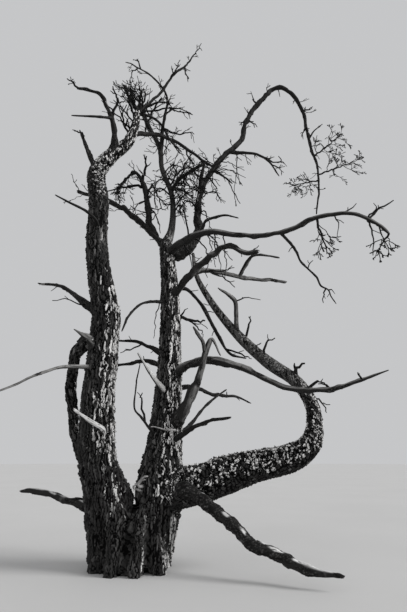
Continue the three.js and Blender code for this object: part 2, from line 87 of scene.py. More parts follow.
# Each limb: the carrier it grows from, its finish, and the rows of its centre line. A row is
# x, y, z and the limb's thickness there. The first row is moved on to the carrier's centre line.
LIMBS = {
    "left_stem": (None, "bark", [
        (-270, -60, -60, 415), (-310, -90, 520, 465), (-370, -105, 820, 445), (-440, -120, 1080, 410),
        (-480, -150, 1610, 375), (-450, -180, 2290, 347), (-440, -200, 2710, 340), (-550, -240, 3260, 277),
        (-600, -270, 3710, 256), (-600, -290, 4180, 244), (-650, -300, 4560, 229), (-500, -290, 4820, 192),
        (-280, -260, 5070, 150), (-200, -220, 5380, 106), (-185, -205, 5600, 76)]),
    "middle_stem": (None, "bark", [
        (150, 60, -70, 425), (200, 60, 460, 520), (220, 60, 870, 495), (270, 80, 1300, 401),
        (290, 100, 1750, 332), (300, 130, 2360, 270), (290, 170, 3010, 240), (240, 210, 3550, 204),
        (210, 230, 3800, 166), (270, 250, 4020, 98), (290, 280, 4300, 82), (260, 320, 4640, 72),
        (110, 370, 5080, 69), (70, 400, 5430, 76), (-80, 440, 5790, 58), (-200, 460, 6100, 48),
        (-290, 480, 6350, 38)]),
    "leaning_stem": ("middle_stem", "bark", [
        (400, 60, 740, 460), (680, 40, 830, 436), (970, 15, 940, 411), (1260, -20, 1020, 358),
        (1560, -70, 1080, 320), (1770, -120, 1160, 286), (1900, -165, 1290, 235), (1935, -190, 1460, 184),
        (1910, -190, 1700, 162), (1770, -140, 1940, 149), (1450, -40, 2200, 146), (1100, 60, 2570, 116),
        (800, 140, 3000, 84), (620, 190, 3360, 64), (570, 230, 3700, 42)]),
    "riser": ("middle_stem", "dark", [
        (240, 220, 3700, 165), (480, 300, 3790, 146), (620, 370, 4060, 110), (630, 440, 4410, 92),
        (670, 520, 4810, 84), (820, 600, 5180, 75), (1050, 680, 5540, 74), (1290, 760, 5840, 72),
        (1400, 830, 6260, 71), (1670, 910, 6760, 72), (1980, 980, 7040, 70), (2250, 1040, 6910, 61),
        (2400, 1080, 6560, 56), (2440, 1080, 6070, 46), (2540, 1050, 5520, 36), (2510, 1000, 5090, 28),
        (2440, 930, 4650, 20)]),
    "level_bough": ("middle_stem", "grey", [
        (240, 220, 3680, 119), (390, 50, 3750, 91), (730, -160, 3800, 75), (1160, -400, 3660, 61),
        (1600, -620, 3570, 55), (2000, -820, 3690, 52), (2320, -980, 3620, 43), (2570, -1080, 3420, 38),
        (2630, -1110, 3330, 26)]),
    "shoulder_bough": ("middle_stem", "grey", [
        (290, 170, 3050, 108), (450, -20, 3160, 85), (640, -200, 3330, 72), (830, -330, 3440, 68),
        (920, -400, 3500, 66), (1070, -510, 3450, 62), (1150, -560, 3370, 58), (1210, -600, 3340, 60),
        (1330, -660, 3340, 56)]),
    "drooping_bough": ("middle_stem", "worn", [
        (300, 60, 800, 140), (550, -160, 760, 130), (810, -290, 630, 122), (1010, -400, 490, 112),
        (1200, -520, 310, 111), (1440, -640, 230, 98), (1640, -760, 160, 91), (1930, -900, 130, 31)]),
    "sweeping_bough": ("middle_stem", "grey", [
        (280, 110, 2010, 120), (510, 0, 2140, 95), (850, -120, 2190, 84), (1240, -270, 2030, 70),
        (1600, -440, 1840, 60), (1930, -620, 1790, 50), (2240, -800, 1840, 40), (2520, -960, 1930, 14)]),
    "forked_snag": ("middle_stem", "grey", [
        (330, 80, 1390, 180), (510, -130, 1650, 122), (650, -250, 1950, 78), (730, -330, 2260, 62),
        (800, -360, 2380, 41), (900, -390, 2200, 18)]),
    "behind_bough": ("middle_stem", "dark", [
        (220, 230, 3770, 106), (20, 310, 4020, 82), (-320, 450, 4400, 74), (-680, 600, 4690, 66),
        (-1190, 760, 4930, 46)]),
    "drooping_left_bough": ("left_stem", "bark", [
        (-450, -180, 2330, 151), (-650, -170, 2400, 146), (-770, -120, 2280, 128), (-820, -60, 2060, 117),
        (-820, 0, 1770, 110), (-770, 60, 1410, 103), (-680, 110, 1100, 88)]),
    "low_left_bough": ("left_stem", "worn", [
        (-330, -90, 540, 110), (-620, -20, 630, 80), (-970, 120, 710, 67), (-1230, 240, 760, 57),
        (-1410, 320, 740, 32)]),
    "collar_snag": ("left_stem", "grey", [
        (-450, -190, 2270, 116), (-570, -300, 2390, 91), (-650, -360, 2440, 45), (-740, -420, 2490, 12)]),
    "left_bough": ("left_stem", "dark", [
        (-440, -200, 2670, 118), (-720, -80, 2890, 85), (-970, 100, 3110, 58), (-1260, 300, 3280, 39),
        (-1530, 460, 3350, 18)]),
    "back_left_bough": ("left_stem", "dark", [
        (-440, -200, 2790, 105), (-610, 250, 3150, 84), (-790, 750, 3650, 64), (-980, 1250, 4220, 38)]),
    "back_bough": ("middle_stem", "dark", [
        (295, 140, 2480, 110), (260, 550, 2830, 87), (200, 1050, 3300, 66), (140, 1500, 3810, 38)]),
    "long_left_bough": ("left_stem", "grey", [
        (-450, -180, 2110, 58), (-660, -400, 2070, 42), (-830, -560, 2040, 35), (-990, -700, 1940, 31),
        (-1200, -850, 1790, 22), (-1450, -980, 1650, 11)]),
    "pale_snag": ("left_stem", "pale", [
        (-460, -130, 1380, 58), (-350, -390, 1400, 52), (-480, -520, 1490, 42), (-610, -640, 1580, 32)]),
    "grey_bough": ("left_stem", "dark", [
        (-600, -280, 3770, 50), (-580, -430, 3820, 41), (-660, -560, 3870, 33), (-800, -700, 3910, 28),
        (-950, -850, 3940, 18)]),
    "top_left_snag": ("left_stem", "dark", [
        (-650, -300, 4600, 80), (-800, -230, 4950, 55), (-920, -150, 5240, 35), (-980, -100, 5380, 20)]),
    "crook_bough": ("left_stem", "dark", [
        (-560, -300, 4780, 110), (-440, -380, 4960, 80), (-460, -500, 5250, 60), (-540, -560, 5420, 50),
        (-610, -630, 5520, 42), (-690, -650, 5540, 36), (-870, -680, 5560, 34)]),
    "crossing_bough": ("left_stem", "dark", [
        (-240, -240, 5200, 66), (-50, 0, 5390, 55), (110, 250, 5530, 52), (370, 500, 5570, 45),
        (740, 750, 5450, 34), (1150, 900, 5160, 18)]),
    "crook_arm": ("crook_bough", "dark", [
        (-500, -560, 5220, 38), (-600, -620, 5170, 30), (-760, -680, 5130, 25), (-900, -720, 5110, 14)]),
    "crown_side_bough": ("left_stem", "dark", [
        (-190, -210, 5560, 46), (-20, -60, 5620, 36), (110, 40, 5580, 32), (240, 130, 5380, 28),
        (400, 200, 5240, 16)]),
    "sky_twig": ("left_stem", "dark", [
        (-185, -205, 5560, 44), (10, -100, 5890, 40), (130, -20, 6110, 37), (280, 60, 6470, 35),
        (460, 110, 6680, 30)]),
    "small_stem": ("behind_bough", "dark", [
        (60, 290, 3960, 92), (-40, 430, 4230, 92), (-110, 560, 4620, 84), (-200, 650, 5020, 64),
        (-290, 680, 5180, 50), (-380, 700, 5240, 40)]),
    "arch_twig": ("middle_stem", "dark", [
        (290, 170, 2990, 43), (80, 20, 2950, 35), (-80, -100, 2860, 30), (-180, -240, 2660, 26),
        (-220, -370, 2480, 18)]),
    "upper_gap_bough": ("middle_stem", "dark", [
        (295, 120, 2260, 73), (50, 250, 2430, 50), (-150, 340, 2520, 38), (-470, 450, 2570, 24)]),
    "lower_gap_bough": ("middle_stem", "dark", [
        (290, 120, 2130, 61), (30, 260, 2250, 50), (-240, 400, 2250, 41), (-620, 560, 2200, 26)]),
    "pale_fork": ("middle_stem", "pale", [
        (290, 100, 1790, 62), (200, -140, 1920, 51), (100, -320, 2060, 39), (-10, -480, 2210, 22)]),
    "low_twig": ("middle_stem", "dark", [
        (270, 80, 1300, 39), (120, -100, 1410, 31), (30, -220, 1540, 24), (-40, -290, 1620, 19),
        (-30, -330, 1870, 17), (0, -350, 2110, 13)]),
    "low_back_bough": ("middle_stem", "dark", [
        (290, 110, 1900, 64), (550, 320, 1940, 52), (870, 530, 1870, 43), (1130, 720, 1870, 31),
        (1340, 860, 1800, 16)]),
    "low_crossing_bough": ("middle_stem", "dark", [
        (280, 80, 1290, 62), (510, 280, 1450, 45), (740, 450, 1730, 35), (1000, 600, 1940, 17)]),
    "low_right_bough": ("middle_stem", "dark", [
        (270, 80, 1230, 69), (550, -170, 1400, 51), (770, -360, 1490, 36), (990, -540, 1510, 21)]),
    "companion_bough": ("middle_stem", "dark", [
        (285, 180, 3160, 56), (480, 300, 3210, 46), (670, 420, 3050, 44), (890, 560, 2690, 44),
        (1070, 680, 2430, 36), (1290, 760, 2390, 18)]),
    "leader_arm": ("middle_stem", "dark", [
        (260, 330, 4680, 62), (320, 260, 4760, 54), (430, 160, 4840, 50), (550, 90, 4870, 46),
        (690, 30, 4920, 40)]),
    "leader_fork": ("middle_stem", "dark", [
        (75, 400, 5380, 70), (100, 340, 5630, 53), (140, 270, 5890, 44), (200, 210, 6120, 28)]),
    "riser_snag": ("riser", "dark", [
        (660, 500, 4680, 66), (690, 400, 4950, 56), (730, 330, 5160, 34)]),
    "arch_arm": ("riser", "dark", [
        (1070, 690, 5580, 58), (1360, 560, 5480, 42), (1620, 420, 5280, 32), (1780, 320, 4930, 18)]),
    "level_bough_hanger": ("level_bough", "dark", [
        (1600, -620, 3560, 34), (1700, -610, 3460, 30), (1770, -600, 3340, 27), (1810, -590, 3240, 25),
        (1890, -570, 3150, 23), (1980, -550, 3050, 21), (2030, -530, 2960, 19), (2120, -510, 2920, 17),
        (2150, -490, 2850, 14), (2210, -470, 2770, 11)]),
    "hook_twig": ("level_bough", "dark", [
        (640, -120, 3840, 46), (700, -170, 3870, 38), (730, -210, 3930, 34), (800, -250, 3960, 32),
        (960, -330, 3960, 28), (1130, -410, 3870, 16)]),
    "shoulder_arm": ("shoulder_bough", "grey", [
        (570, -130, 3260, 66), (750, 40, 3380, 66), (1140, 300, 3400, 58), (1520, 520, 3430, 48),
        (1880, 700, 3470, 38)]),
    "shoulder_spur": ("shoulder_arm", "grey", [
        (1200, 310, 3450, 46), (1260, 250, 3540, 46), (1320, 200, 3610, 44), (1390, 150, 3630, 34),
        (1540, 60, 3580, 28), (1670, -20, 3520, 20)]),
    "forked_snag_arm": ("forked_snag", "grey", [
        (730, -330, 2250, 52), (690, -400, 2370, 43), (600, -460, 2500, 33)]),
    "rise_snag_high": ("leaning_stem", "grey", [
        (1110, 60, 2560, 76), (1100, 0, 2750, 58), (1090, -40, 2920, 52), (1000, -80, 3020, 40),
        (890, -110, 3090, 18)]),
    "sky_twig_left": ("leader_fork", "dark", [
        (180, 220, 6060, 35), (150, 190, 6240, 30), (-40, 120, 6470, 25), (-300, 40, 6600, 21),
        (-430, 0, 6630, 14)]),
}
# The solid that stands for the far part of a long limb
SECOND_NODES = {"riser": "arch_fall", "leaning_stem": "leaning_stem_rise"}
# The limbs that the skin of bark covers, and the solids that each of its parts stands for
STEMS = ("left_stem", "middle_stem", "leaning_stem")
SKIN_PARTS = {
    "left_stem_bark": ["left_stem"],
    "middle_stem_bark": ["middle_stem"],
    "leaning_stem_bark": ["leaning_stem", "leaning_stem_rise"],
    "base_bark": ["trunk_base"],
}

# Each mass of twigs: the limb whose tip (or, with a place, whose side) carries it, its habit,
# the middle and half sizes of the space it keeps to, the seed of its rule, and the place
MASSES = {
    "crown_twigs": ("left_stem", "whorl", (-310, -200, 5850), (290, 270, 330), 11, None),
    "crook_twigs": ("crook_bough", "spurs", (-950, -700, 5630), (170, 160, 160), 22, None),
    "sky_twigs": ("sky_twig", "spurs", (590, 130, 6930), (190, 170, 270), 33, None),
    "leader_twigs": ("middle_stem", "whorl", (-390, 510, 6500), (250, 240, 280), 44, None),
    "tangle_twigs": ("leader_arm", "tangle", (450, 60, 4570), (380, 320, 420), 55, (430, 160, 4840)),
    "small_stem_twigs": ("small_stem", "hanging", (-520, 760, 5080), (260, 240, 330), 66, None),
    "arch_twigs": ("riser", "spray", (2260, 1000, 5220), (300, 260, 340), 77, (2530, 1030, 5300)),
    "arch_spray_twigs": ("riser", "spray", (2970, 1080, 5610), (440, 340, 420), 88, (2550, 1050, 5400)),
    "arch_upper_twigs": ("riser", "spray", (2780, 1030, 5980), (370, 290, 380), 99, (2510, 1060, 5770)),
    "level_tip_twigs": ("level_bough", "hanging", (2540, -1110, 3210), (200, 190, 220), 122, None),
    "level_drop_twigs": (
        "level_bough", "hanging", (2020, -810, 3420), (270, 230, 270), 111, (1980, -800, 3660)),
}

# The rule that every mass of twigs follows, order by order: how many twigs leave a twig, their
# length and thickness as shares of its own, how far they spread, and how far they droop. The
# solids have the first two orders of each habit, and FINE_ORDERS carries them on to finer twigs.
HABITS = {
    "whorl": [(8, 0.85, 0.42, 44, -0.2), (2, 0.5, 0.55, 46, 0.0)],
    "spurs": [(5, 0.45, 0.45, 62, 0.0), (1, 0.5, 0.6, 45, 0.0)],
    "spray": [(9, 0.85, 0.5, 50, 0.25), (2, 0.55, 0.65, 45, 0.2)],
    "hanging": [(7, 1.0, 0.5, 40, 0.5), (2, 0.5, 0.65, 40, 0.3)],
    "tangle": [(14, 1.05, 0.5, 74, 0.0), (3, 0.6, 0.65, 55, 0.0)],
}
FINE_ORDERS = {
    "whorl": [(1, 0.65, 0.85, 40, 0.0)],
    "spurs": [(1, 0.6, 0.8, 46, 0.0)],
    "spray": [(3, 0.6, 0.8, 46, 0.1), (2, 0.55, 0.8, 48, 0.1)],
    "hanging": [(2, 0.65, 0.8, 42, 0.2), (1, 0.6, 0.8, 46, 0.2)],
    "tangle": [(3, 0.6, 0.85, 46, 0.1), (1, 0.6, 0.85, 48, 0.1)],
}
# The stem of a mass: its thickness on a bough's side, and its reach as a share of the way to the
# middle of the mass's space
MASS_STEM_THICK = 30
MASS_STEM_REACH = 1.75
# Where the first and the last twig leave a twig, and the turn in degrees from one to the next
FIRST_SHARE = 0.12
LAST_SHARE = 0.94
TURN = 137.5
# A twig's bend, its tip's thickness as a share of its foot's, and how each order is thinned out
TWIG_BEND = 0.28
TWIG_TIP = 0.5
TWIG_THINNING = (1.0, 1.0, 1.0, 0.9, 0.8)
LEAST_THICK = 8
CLEAR_OF_LIMBS = 12
# How often a twig that doesn't fit is tried, and how much shorter each time
TRIES = 3
SHORTER = 0.7
# The angular kinks of a twig: one for each part of this length in metres, and how far they stray
TWIG_PART = 0.045
MOST_PARTS = 14
TWIG_KINK = 0.026
# The materials of the twigs, and how the sprays are dealt out to the first two of them
TWIG_MATERIALS = ("dark_twigs", "grey_twigs", "pale_twigs")
PALE_TWIGS = 2
DARK_SHARE = 0.55
GREY_SHARE = 0.985

# Shoots that the photograph shows one by one: the limb that carries each, its thickness, and
# the places that it passes. The first place is moved on to the carrier's centre line.
SHOOTS = [
    ("leaning_stem", 22, [(1200, 30, 2460), (1270, -10, 2640), (1290, -30, 2760)]),
    ("leaning_stem", 15, [(1310, 0, 2350), (1350, -40, 2400), (1390, -60, 2390)]),
    ("leaning_stem", 24, [(1420, -30, 2240), (1420, -70, 2350), (1470, -90, 2420), (1560, -120, 2450)]),
    ("leaning_stem", 48, [(1760, -130, 1950), (1770, -180, 2090), (1860, -220, 2140)]),
    ("leaning_stem", 16, [(1920, -180, 1760), (2020, -190, 1730), (2060, -200, 1660), (2080, -210, 1580)]),
    ("rise_snag_high", 13, [(1090, -40, 2920), (1230, -50, 2980), (1410, -70, 2960)]),
    ("middle_stem", 34, [(290, 150, 2720), (440, 110, 2770), (620, 50, 2700), (740, 10, 2710)]),
    ("middle_stem", 17, [(290, 160, 2820), (500, 90, 2750), (680, 10, 2580), (710, -20, 2500)]),
    ("middle_stem", 20, [(260, 320, 4610), (320, 270, 4750), (530, 200, 4690), (630, 170, 4590)]),
    ("middle_stem", 15, [(250, 200, 3470), (150, 100, 2970), (120, 50, 2720), (120, 0, 2490)]),
    ("middle_stem", 26, [(-130, 450, 5930), (-70, 470, 6160), (20, 490, 6360), (140, 510, 6450)]),
    ("middle_stem", 26, [(-60, 430, 5740), (-140, 410, 5860), (-230, 370, 6040)]),
    ("riser", 18, [(530, 320, 3880), (450, 250, 4290), (440, 230, 4360), (490, 200, 4480)]),
    ("riser", 36, [(1980, 980, 7040), (2000, 1020, 7130)]),
    ("riser", 15, [(1130, 710, 5640), (1210, 700, 5610), (1210, 680, 5330), (1170, 650, 4850)]),
    ("riser", 18, [
        (780, 580, 5090), (860, 570, 5170), (1050, 540, 5020), (1120, 510, 4840), (1230, 480, 4560)]),
    ("riser", 15, [(800, 590, 5140), (970, 580, 5200), (1130, 570, 5170), (1320, 550, 5030)]),
    ("riser", 15, [(740, 560, 5000), (900, 480, 5240), (1080, 440, 5240), (1190, 400, 5090)]),
    ("riser", 17, [(1050, 680, 5540), (860, 640, 5340), (640, 580, 5580)]),
    ("riser", 24, [(1400, 830, 6260), (1470, 840, 6250), (1580, 860, 6170)]),
    ("riser", 19, [(1410, 830, 6280), (1340, 820, 6240), (1290, 800, 6150)]),
    ("riser", 20, [(1590, 890, 6610), (1530, 870, 6690), (1490, 860, 6870)]),
    ("riser", 26, [(2360, 1070, 6650), (2460, 1080, 6690), (2550, 1100, 6760)]),
    ("riser", 20, [(2420, 1080, 6360), (2360, 1060, 6230), (2320, 1050, 6130)]),
    ("riser", 21, [(2440, 1080, 6120), (2550, 1090, 6270), (2680, 1100, 6400)]),
    ("arch_arm", 20, [(1580, 440, 5310), (1710, 430, 5250), (1840, 420, 5220), (1820, 410, 5320)]),
    ("arch_arm", 17, [(1680, 380, 5160), (1770, 400, 5130), (1870, 420, 5040)]),
    ("level_bough", 17, [(2240, -940, 3640), (2280, -920, 3680), (2400, -880, 3820)]),
    ("level_bough", 21, [(2460, -1040, 3510), (2490, -1040, 3560), (2620, -1080, 3670), (2720, -1100, 3720)]),
    ("level_bough", 14, [(2440, -1030, 3520), (2580, -1000, 3670), (2650, -980, 3700)]),
    ("level_bough", 16, [(2440, -1030, 3520), (2480, -1020, 3470), (2510, -1010, 3320), (2480, -990, 3140)]),
    ("level_bough", 14, [(2520, -1060, 3460), (2570, -1070, 3380), (2590, -1100, 3140)]),
    ("level_bough", 14, [(2140, -890, 3660), (2180, -880, 3570), (2170, -850, 3400)]),
    ("companion_bough", 18, [(1020, 650, 2500), (1270, 660, 2400), (1350, 670, 2350)]),
    ("sweeping_bough", 24, [(1810, -560, 1810), (1890, -550, 1870), (1940, -540, 1890), (2020, -530, 1820)]),
    ("sweeping_bough", 17, [(2300, -830, 1860), (2260, -840, 1910), (2250, -850, 1940)]),
    ("sweeping_bough", 16, [(2010, -660, 1800), (1950, -650, 1840), (1890, -640, 1850)]),
    ("left_bough", 14, [(-720, -80, 2890), (-760, -200, 2840), (-880, -300, 2880), (-1040, -360, 2850)]),
    ("left_stem", 26, [(-260, -250, 5130), (-320, -350, 5250), (-350, -430, 5360), (-280, -500, 5450)]),
    ("left_stem", 30, [(-200, -220, 5420), (-270, -260, 5630), (-340, -310, 5850), (-400, -340, 5950)]),
    ("left_stem", 26, [(-190, -210, 5570), (-270, -240, 5800), (-290, -270, 6060)]),
    ("left_stem", 20, [(-210, -220, 5350), (-360, -330, 5530), (-480, -400, 5600)]),
    ("left_stem", 24, [(-180, -200, 5600), (-160, -170, 5930), (-200, -140, 6110)]),
    ("left_stem", 22, [(-180, -200, 5600), (-100, -150, 5880), (-130, -100, 6090)]),
    ("left_stem", 20, [(-230, -240, 5260), (-340, -270, 5350), (-470, -330, 5470), (-570, -360, 5480)]),
    ("left_stem", 31, [(-190, -210, 5520), (-20, -140, 5750), (140, -90, 5850), (280, -50, 5850)]),
    ("left_stem", 24, [
        (-190, -210, 5570), (20, -180, 5630), (190, -150, 5680), (400, -110, 5680), (550, -90, 5630)]),
    ("crook_bough", 26, [(-450, -500, 5250), (-420, -460, 5580), (-480, -440, 5790)]),
    ("sky_twig", 22, [(240, 40, 6360), (310, 0, 6510), (360, -20, 6630)]),
    ("sky_twig", 18, [(430, 100, 6650), (450, 130, 6560), (490, 150, 6460)]),
    ("sky_twig_left", 18, [(-220, 60, 6560), (-260, 50, 6690), (-320, 30, 6720)]),
    ("sky_twig_left", 17, [(-250, 60, 6570), (-310, 40, 6510), (-350, 30, 6350)]),
    ("leader_fork", 20, [(150, 260, 5920), (250, 280, 6040), (400, 300, 6050), (550, 320, 5970)]),
    ("leader_fork", 20, [(120, 310, 5730), (330, 350, 5640), (490, 380, 5710), (580, 390, 5690)]),
    ("small_stem", 34, [(-180, 630, 4940), (-350, 610, 4950), (-510, 590, 4900), (-690, 570, 4840)]),
    ("small_stem", 34, [(-210, 650, 5040), (-170, 620, 5240), (-150, 590, 5430)]),
    ("small_stem", 26, [(-140, 590, 4760), (-40, 550, 4920), (60, 510, 4700), (110, 470, 4490)]),
    ("small_stem", 19, [(-110, 560, 4620), (10, 520, 4450), (110, 460, 4110)]),
    ("small_stem", 20, [(-120, 570, 4680), (-240, 600, 4640), (-320, 630, 4510)]),
    ("small_stem", 30, [(-340, 690, 5210), (-460, 660, 5100), (-550, 630, 4910), (-590, 610, 4760)]),
    ("behind_bough", 19, [(-450, 500, 4500), (-280, 450, 4380), (-90, 400, 4390)]),
    ("upper_gap_bough", 15, [(-70, 300, 2480), (-230, 290, 2400), (-330, 270, 2360)]),
    ("low_twig", 19, [(60, -190, 1480), (10, -180, 1740), (10, -190, 1800)]),
    ("top_left_snag", 23, [(-870, -190, 5110), (-940, -210, 5260), (-1000, -230, 5250)]),
    ("middle_stem", 20, [(290, 285, 4340), (420, 240, 4560), (590, 220, 4640), (700, 180, 4560)]),
    ("middle_stem", 18, [(270, 310, 4560), (130, 280, 4690), (20, 240, 4640), (-60, 220, 4500)]),
    ("middle_stem", 20, [(230, 330, 4720), (340, 300, 4960), (490, 260, 5030), (600, 200, 4960)]),
    ("middle_stem", 17, [(170, 350, 4880), (60, 300, 4840), (20, 270, 4640), (50, 250, 4380)]),
    ("middle_stem", 18, [(140, 360, 4980), (260, 280, 5080), (330, 220, 4900), (350, 200, 4620)]),
    ("middle_stem", 16, [(290, 280, 4280), (380, 230, 4420), (400, 200, 4300), (450, 180, 4100)]),
    ("leader_arm", 18, [(400, 190, 4820), (460, 120, 5010), (560, 60, 5140)]),
    ("leader_arm", 17, [(470, 130, 4850), (480, 90, 4690), (560, 60, 4520), (540, 50, 4300)]),
    ("leader_arm", 17, [(550, 90, 4870), (620, 60, 4760), (640, 50, 4560), (720, 40, 4380)]),
    ("leader_arm", 16, [(340, 240, 4770), (330, 160, 4600), (400, 110, 4440), (380, 90, 4220)]),
    ("leader_arm", 16, [(600, 70, 4890), (700, 60, 4990), (800, 40, 4960)]),
    ("riser", 20, [(640, 450, 4450), (520, 380, 4560), (430, 330, 4500), (360, 300, 4320)]),
    ("riser", 18, [(650, 480, 4620), (780, 420, 4720), (900, 380, 4680), (960, 350, 4500)]),
    ("riser", 18, [(660, 510, 4780), (540, 430, 4930), (440, 380, 4900)]),
    ("riser", 16, [(630, 430, 4360), (720, 350, 4380), (780, 300, 4220), (800, 280, 4040)]),
    ("riser_snag", 18, [(690, 400, 4940), (800, 330, 4900), (880, 290, 4720), (900, 270, 4500)]),
    ("riser_snag", 16, [(680, 430, 4880), (600, 340, 4980), (500, 300, 5090)]),
    ("crossing_bough", 18, [(430, 540, 5560), (480, 520, 5380), (560, 500, 5220), (540, 480, 5040)]),
    ("crossing_bough", 17, [(620, 660, 5490), (740, 640, 5300), (820, 620, 5210), (850, 600, 5000)]),
    ("crossing_bough", 16, [(250, 390, 5550), (330, 360, 5370), (420, 340, 5290)]),
    ("crown_side_bough", 15, [(130, 50, 5570), (210, 20, 5430), (230, 0, 5250)]),
    ("level_bough", 14, [(560, -50, 3780), (700, -60, 3690), (760, -70, 3500), (740, -80, 3280)]),
    ("level_bough", 13, [(760, -170, 3790), (860, -200, 3660), (880, -210, 3450)]),
    ("level_bough", 13, [(440, 20, 3760), (540, 0, 3560), (560, 0, 3330)]),
    ("riser", 14, [(620, 370, 4060), (760, 330, 4000), (820, 300, 3800), (800, 290, 3600)]),
    ("leaning_stem", 14, [(590, 220, 3560), (680, 180, 3500), (760, 160, 3340)]),
    ("level_bough_hanger", 13, [(2090, -520, 2930), (2060, -520, 2850), (2050, -520, 2760)]),
    ("level_bough_hanger", 12, [(2120, -510, 2920), (2170, -490, 2930), (2200, -470, 2890)]),
    ("level_bough_hanger", 12, [(1890, -570, 3150), (1910, -600, 3220), (1940, -620, 3240)]),
    ("level_bough", 12, [(840, -200, 3740), (870, -220, 3530), (910, -240, 3360), (930, -250, 3190)]),
    ("level_bough", 12, [(970, -280, 3720), (970, -300, 3470), (990, -310, 3310), (960, -330, 3100)]),
    ("shoulder_arm", 19, [(750, 40, 3380), (930, 60, 3300), (1110, 80, 3160)]),
    ("shoulder_arm", 17, [(750, 40, 3380), (980, 10, 3370), (1090, 0, 3410)]),
]
# Splinters and slivers of wood without bark, set in the same way
SPLINTERS = [
    ("middle_stem", 22, [(280, 80, 1390), (400, -130, 1400), (290, -150, 1410), (130, -170, 1450)]),
    ("middle_stem", 30, [(90, -60, 800), (20, -190, 840), (60, -230, 900), (110, -250, 930)]),
    ("middle_stem", 22, [(60, -60, 780), (-20, -200, 800), (-10, -240, 850)]),
    ("left_stem", 18, [(-300, -90, 700), (-140, -230, 640), (-100, -270, 520)]),
]
# The rule for the side twigs of these shoots, and for the short spurs dealt out along the boughs,
# in the crown and below it
CROWN_SHOOT = [(3, 0.36, 0.75, 46, 0.1), (1, 0.5, 0.85, 42, 0.1)]
LOW_SHOOT = [(1, 0.3, 0.7, 50, 0.1)]
CROWN_SPUR = [(1, 0.5, 0.85, 42, 0.1), (1, 0.5, 0.85, 45, 0.1)]
LOW_SPUR = []
CROWN_FOOT = 4000
SHOOT_THICKER = 1.35
# Spurs grow where a limb's radius is less than this, and shoots stay this near the solids' box
SPUR_CARRIER = 50
SHOOTS_PAST_BOX = 20
# The height from which on spurs grow longer and closer, and over how much height they do so
BUSHY_FROM = 3.4
BUSHY_OVER = 1.6
# Limbs that have spurs, and how much longer and closer these are in the crown
BUSHY = {
    "left_stem": 1.0, "middle_stem": 2.4, "leaning_stem": 1.0, "leader_arm": 2.2, "leader_fork": 1.5,
    "small_stem": 1.5, "crossing_bough": 1.3, "crown_side_bough": 1.3, "riser": 0.75, "riser_snag": 1.6,
    "behind_bough": 1.3, "arch_arm": 0.9, "sky_twig": 0.8, "sky_twig_left": 0.8, "shoulder_bough": 1.0,
    "level_bough_hanger": 1.0, "upper_gap_bough": 1.0, "lower_gap_bough": 1.0, "low_back_bough": 1.0,
    "left_bough": 1.0, "companion_bough": 1.0, "back_left_bough": 1.0, "back_bough": 1.0,
}

# The base: its core, and its root ridges with their compass direction in degrees and their reach
BASE_CORE = [(-30, 20, -60, 520), (-35, 20, 360, 430), (-55, 10, 560, 250), (-70, 0, 650, 130)]
FLARE_RIDGES = [(202, 430), (238, 380), (275, 350), (318, 350), (38, 330), (84, 370), (138, 400)]
FLARE_TOP = 600
FLARE_THICK_TOP = 250
FLARE_THICK_FOOT = 190
# The web of wood that closes the crotch between the left and the middle stem
CROTCH_WEB = [
    (-370, -105, 1180, 150), (-330, -100, 1060, 200), (-280, -95, 940, 220), (-222, -85, 800, 240),
    (-165, -70, 670, 260), (-125, -60, 400, 280), (-110, -50, 100, 300)]
# The folds between the ridges, and the cleft below the crotch
FOLD_DEPTH = 38
CLEFT_DEPTH = 85
CROTCH_PLACE = -30
# How often the skin is smoothed below the crotch's top
CROTCH_TOP = 1150
CROTCH_SMOOTHING = 50
# The base's bark ends at this height, and the leaning stem's begins right of the neck
FORK_HEIGHT = 700
NECK = 545
# The skin covers the foot of a limb from this thickness on. A limb swells by a share of its
# radius where it leaves its carrier, over some of the carrier's radii.
COLLAR_LEAST = 100
COLLAR_SWELL = 0.3
COLLAR_REACH = 2.4
# The steps in metres along a tube that the skin is wrapped round, along a collar, and along the
# line of a stem whose places are looked up
STRAND_STEP = 0.05
COLLAR_STEP = 0.02
SAMPLE_STEP = 0.01
# The heights in metres between which the folds fade out, the cleft sets in and it fades out, and
# the cleft's width
FOLDS_FADE = (0.35, 0.8)
CLEFT_FOOT = (0.02, 0.4)
CLEFT_HEAD = (0.78, 0.95)
CLEFT_WIDTH = 0.05

# Where the finish of the stems changes, from and to, in metres: along the left stem to the upper
# bark and to the crook, along the leaning stem to its bare rise and its thin part, and in height
# out of the foot that is darkened with painted shade
UPPER_BARK = (3.0, 3.5)
CROOK = (4.2, 4.8)
BARE_RISE = (2.15, 2.65)
THIN_RISE = (2.6, 3.4)
SHADED_FOOT = (0.35, 1.4)
# The distance to either side over which one stem's finish blends into another's
STEM_BLEND = 0.05
# The radii between which bark sets in, on the middle stem and on the other two
MIDDLE_BARKED = (0.04, 0.09)
OTHERS_BARKED = (0.012, 0.04)
# How narrow the plates are on thin wood, and the radii between which they reach their width
NARROW_PLATES = 0.65
PLATE_RADII = (0.04, 0.13)
# The radius at which furrows reach their depth, the relief that lies at the skin's own surface,
# and how deep its wide lobes are as a share of the radius
FURROW_RADIUS = 0.19
MID_RELIEF = 0.62
LOBE_DEPTH = 0.06
# How much painted light the foot, darkened with painted shade, still has, in front and behind
FOOT_PAINTED_LIGHT = (0.35, 0.68)
# The ways that the stems' painted light faces: toward the key light, to the back, and at the right rim;
# and how squarely a bough's side has to face the key light to escape painted shade, for each finish
KEY_LIT_SIDE = (0.75, -0.25, 0.6)
PAINTED_LIGHT_BACK = (-0.3, 0.85, 0.3)
PAINTED_RIM_LIGHT = (0.95, -0.3, 0.0)
PAINTED_LIGHT_FROM = {"bark": 0.45, "grey": -0.3, "dark": 0.1, "pale": -0.55, "worn": 0.3}
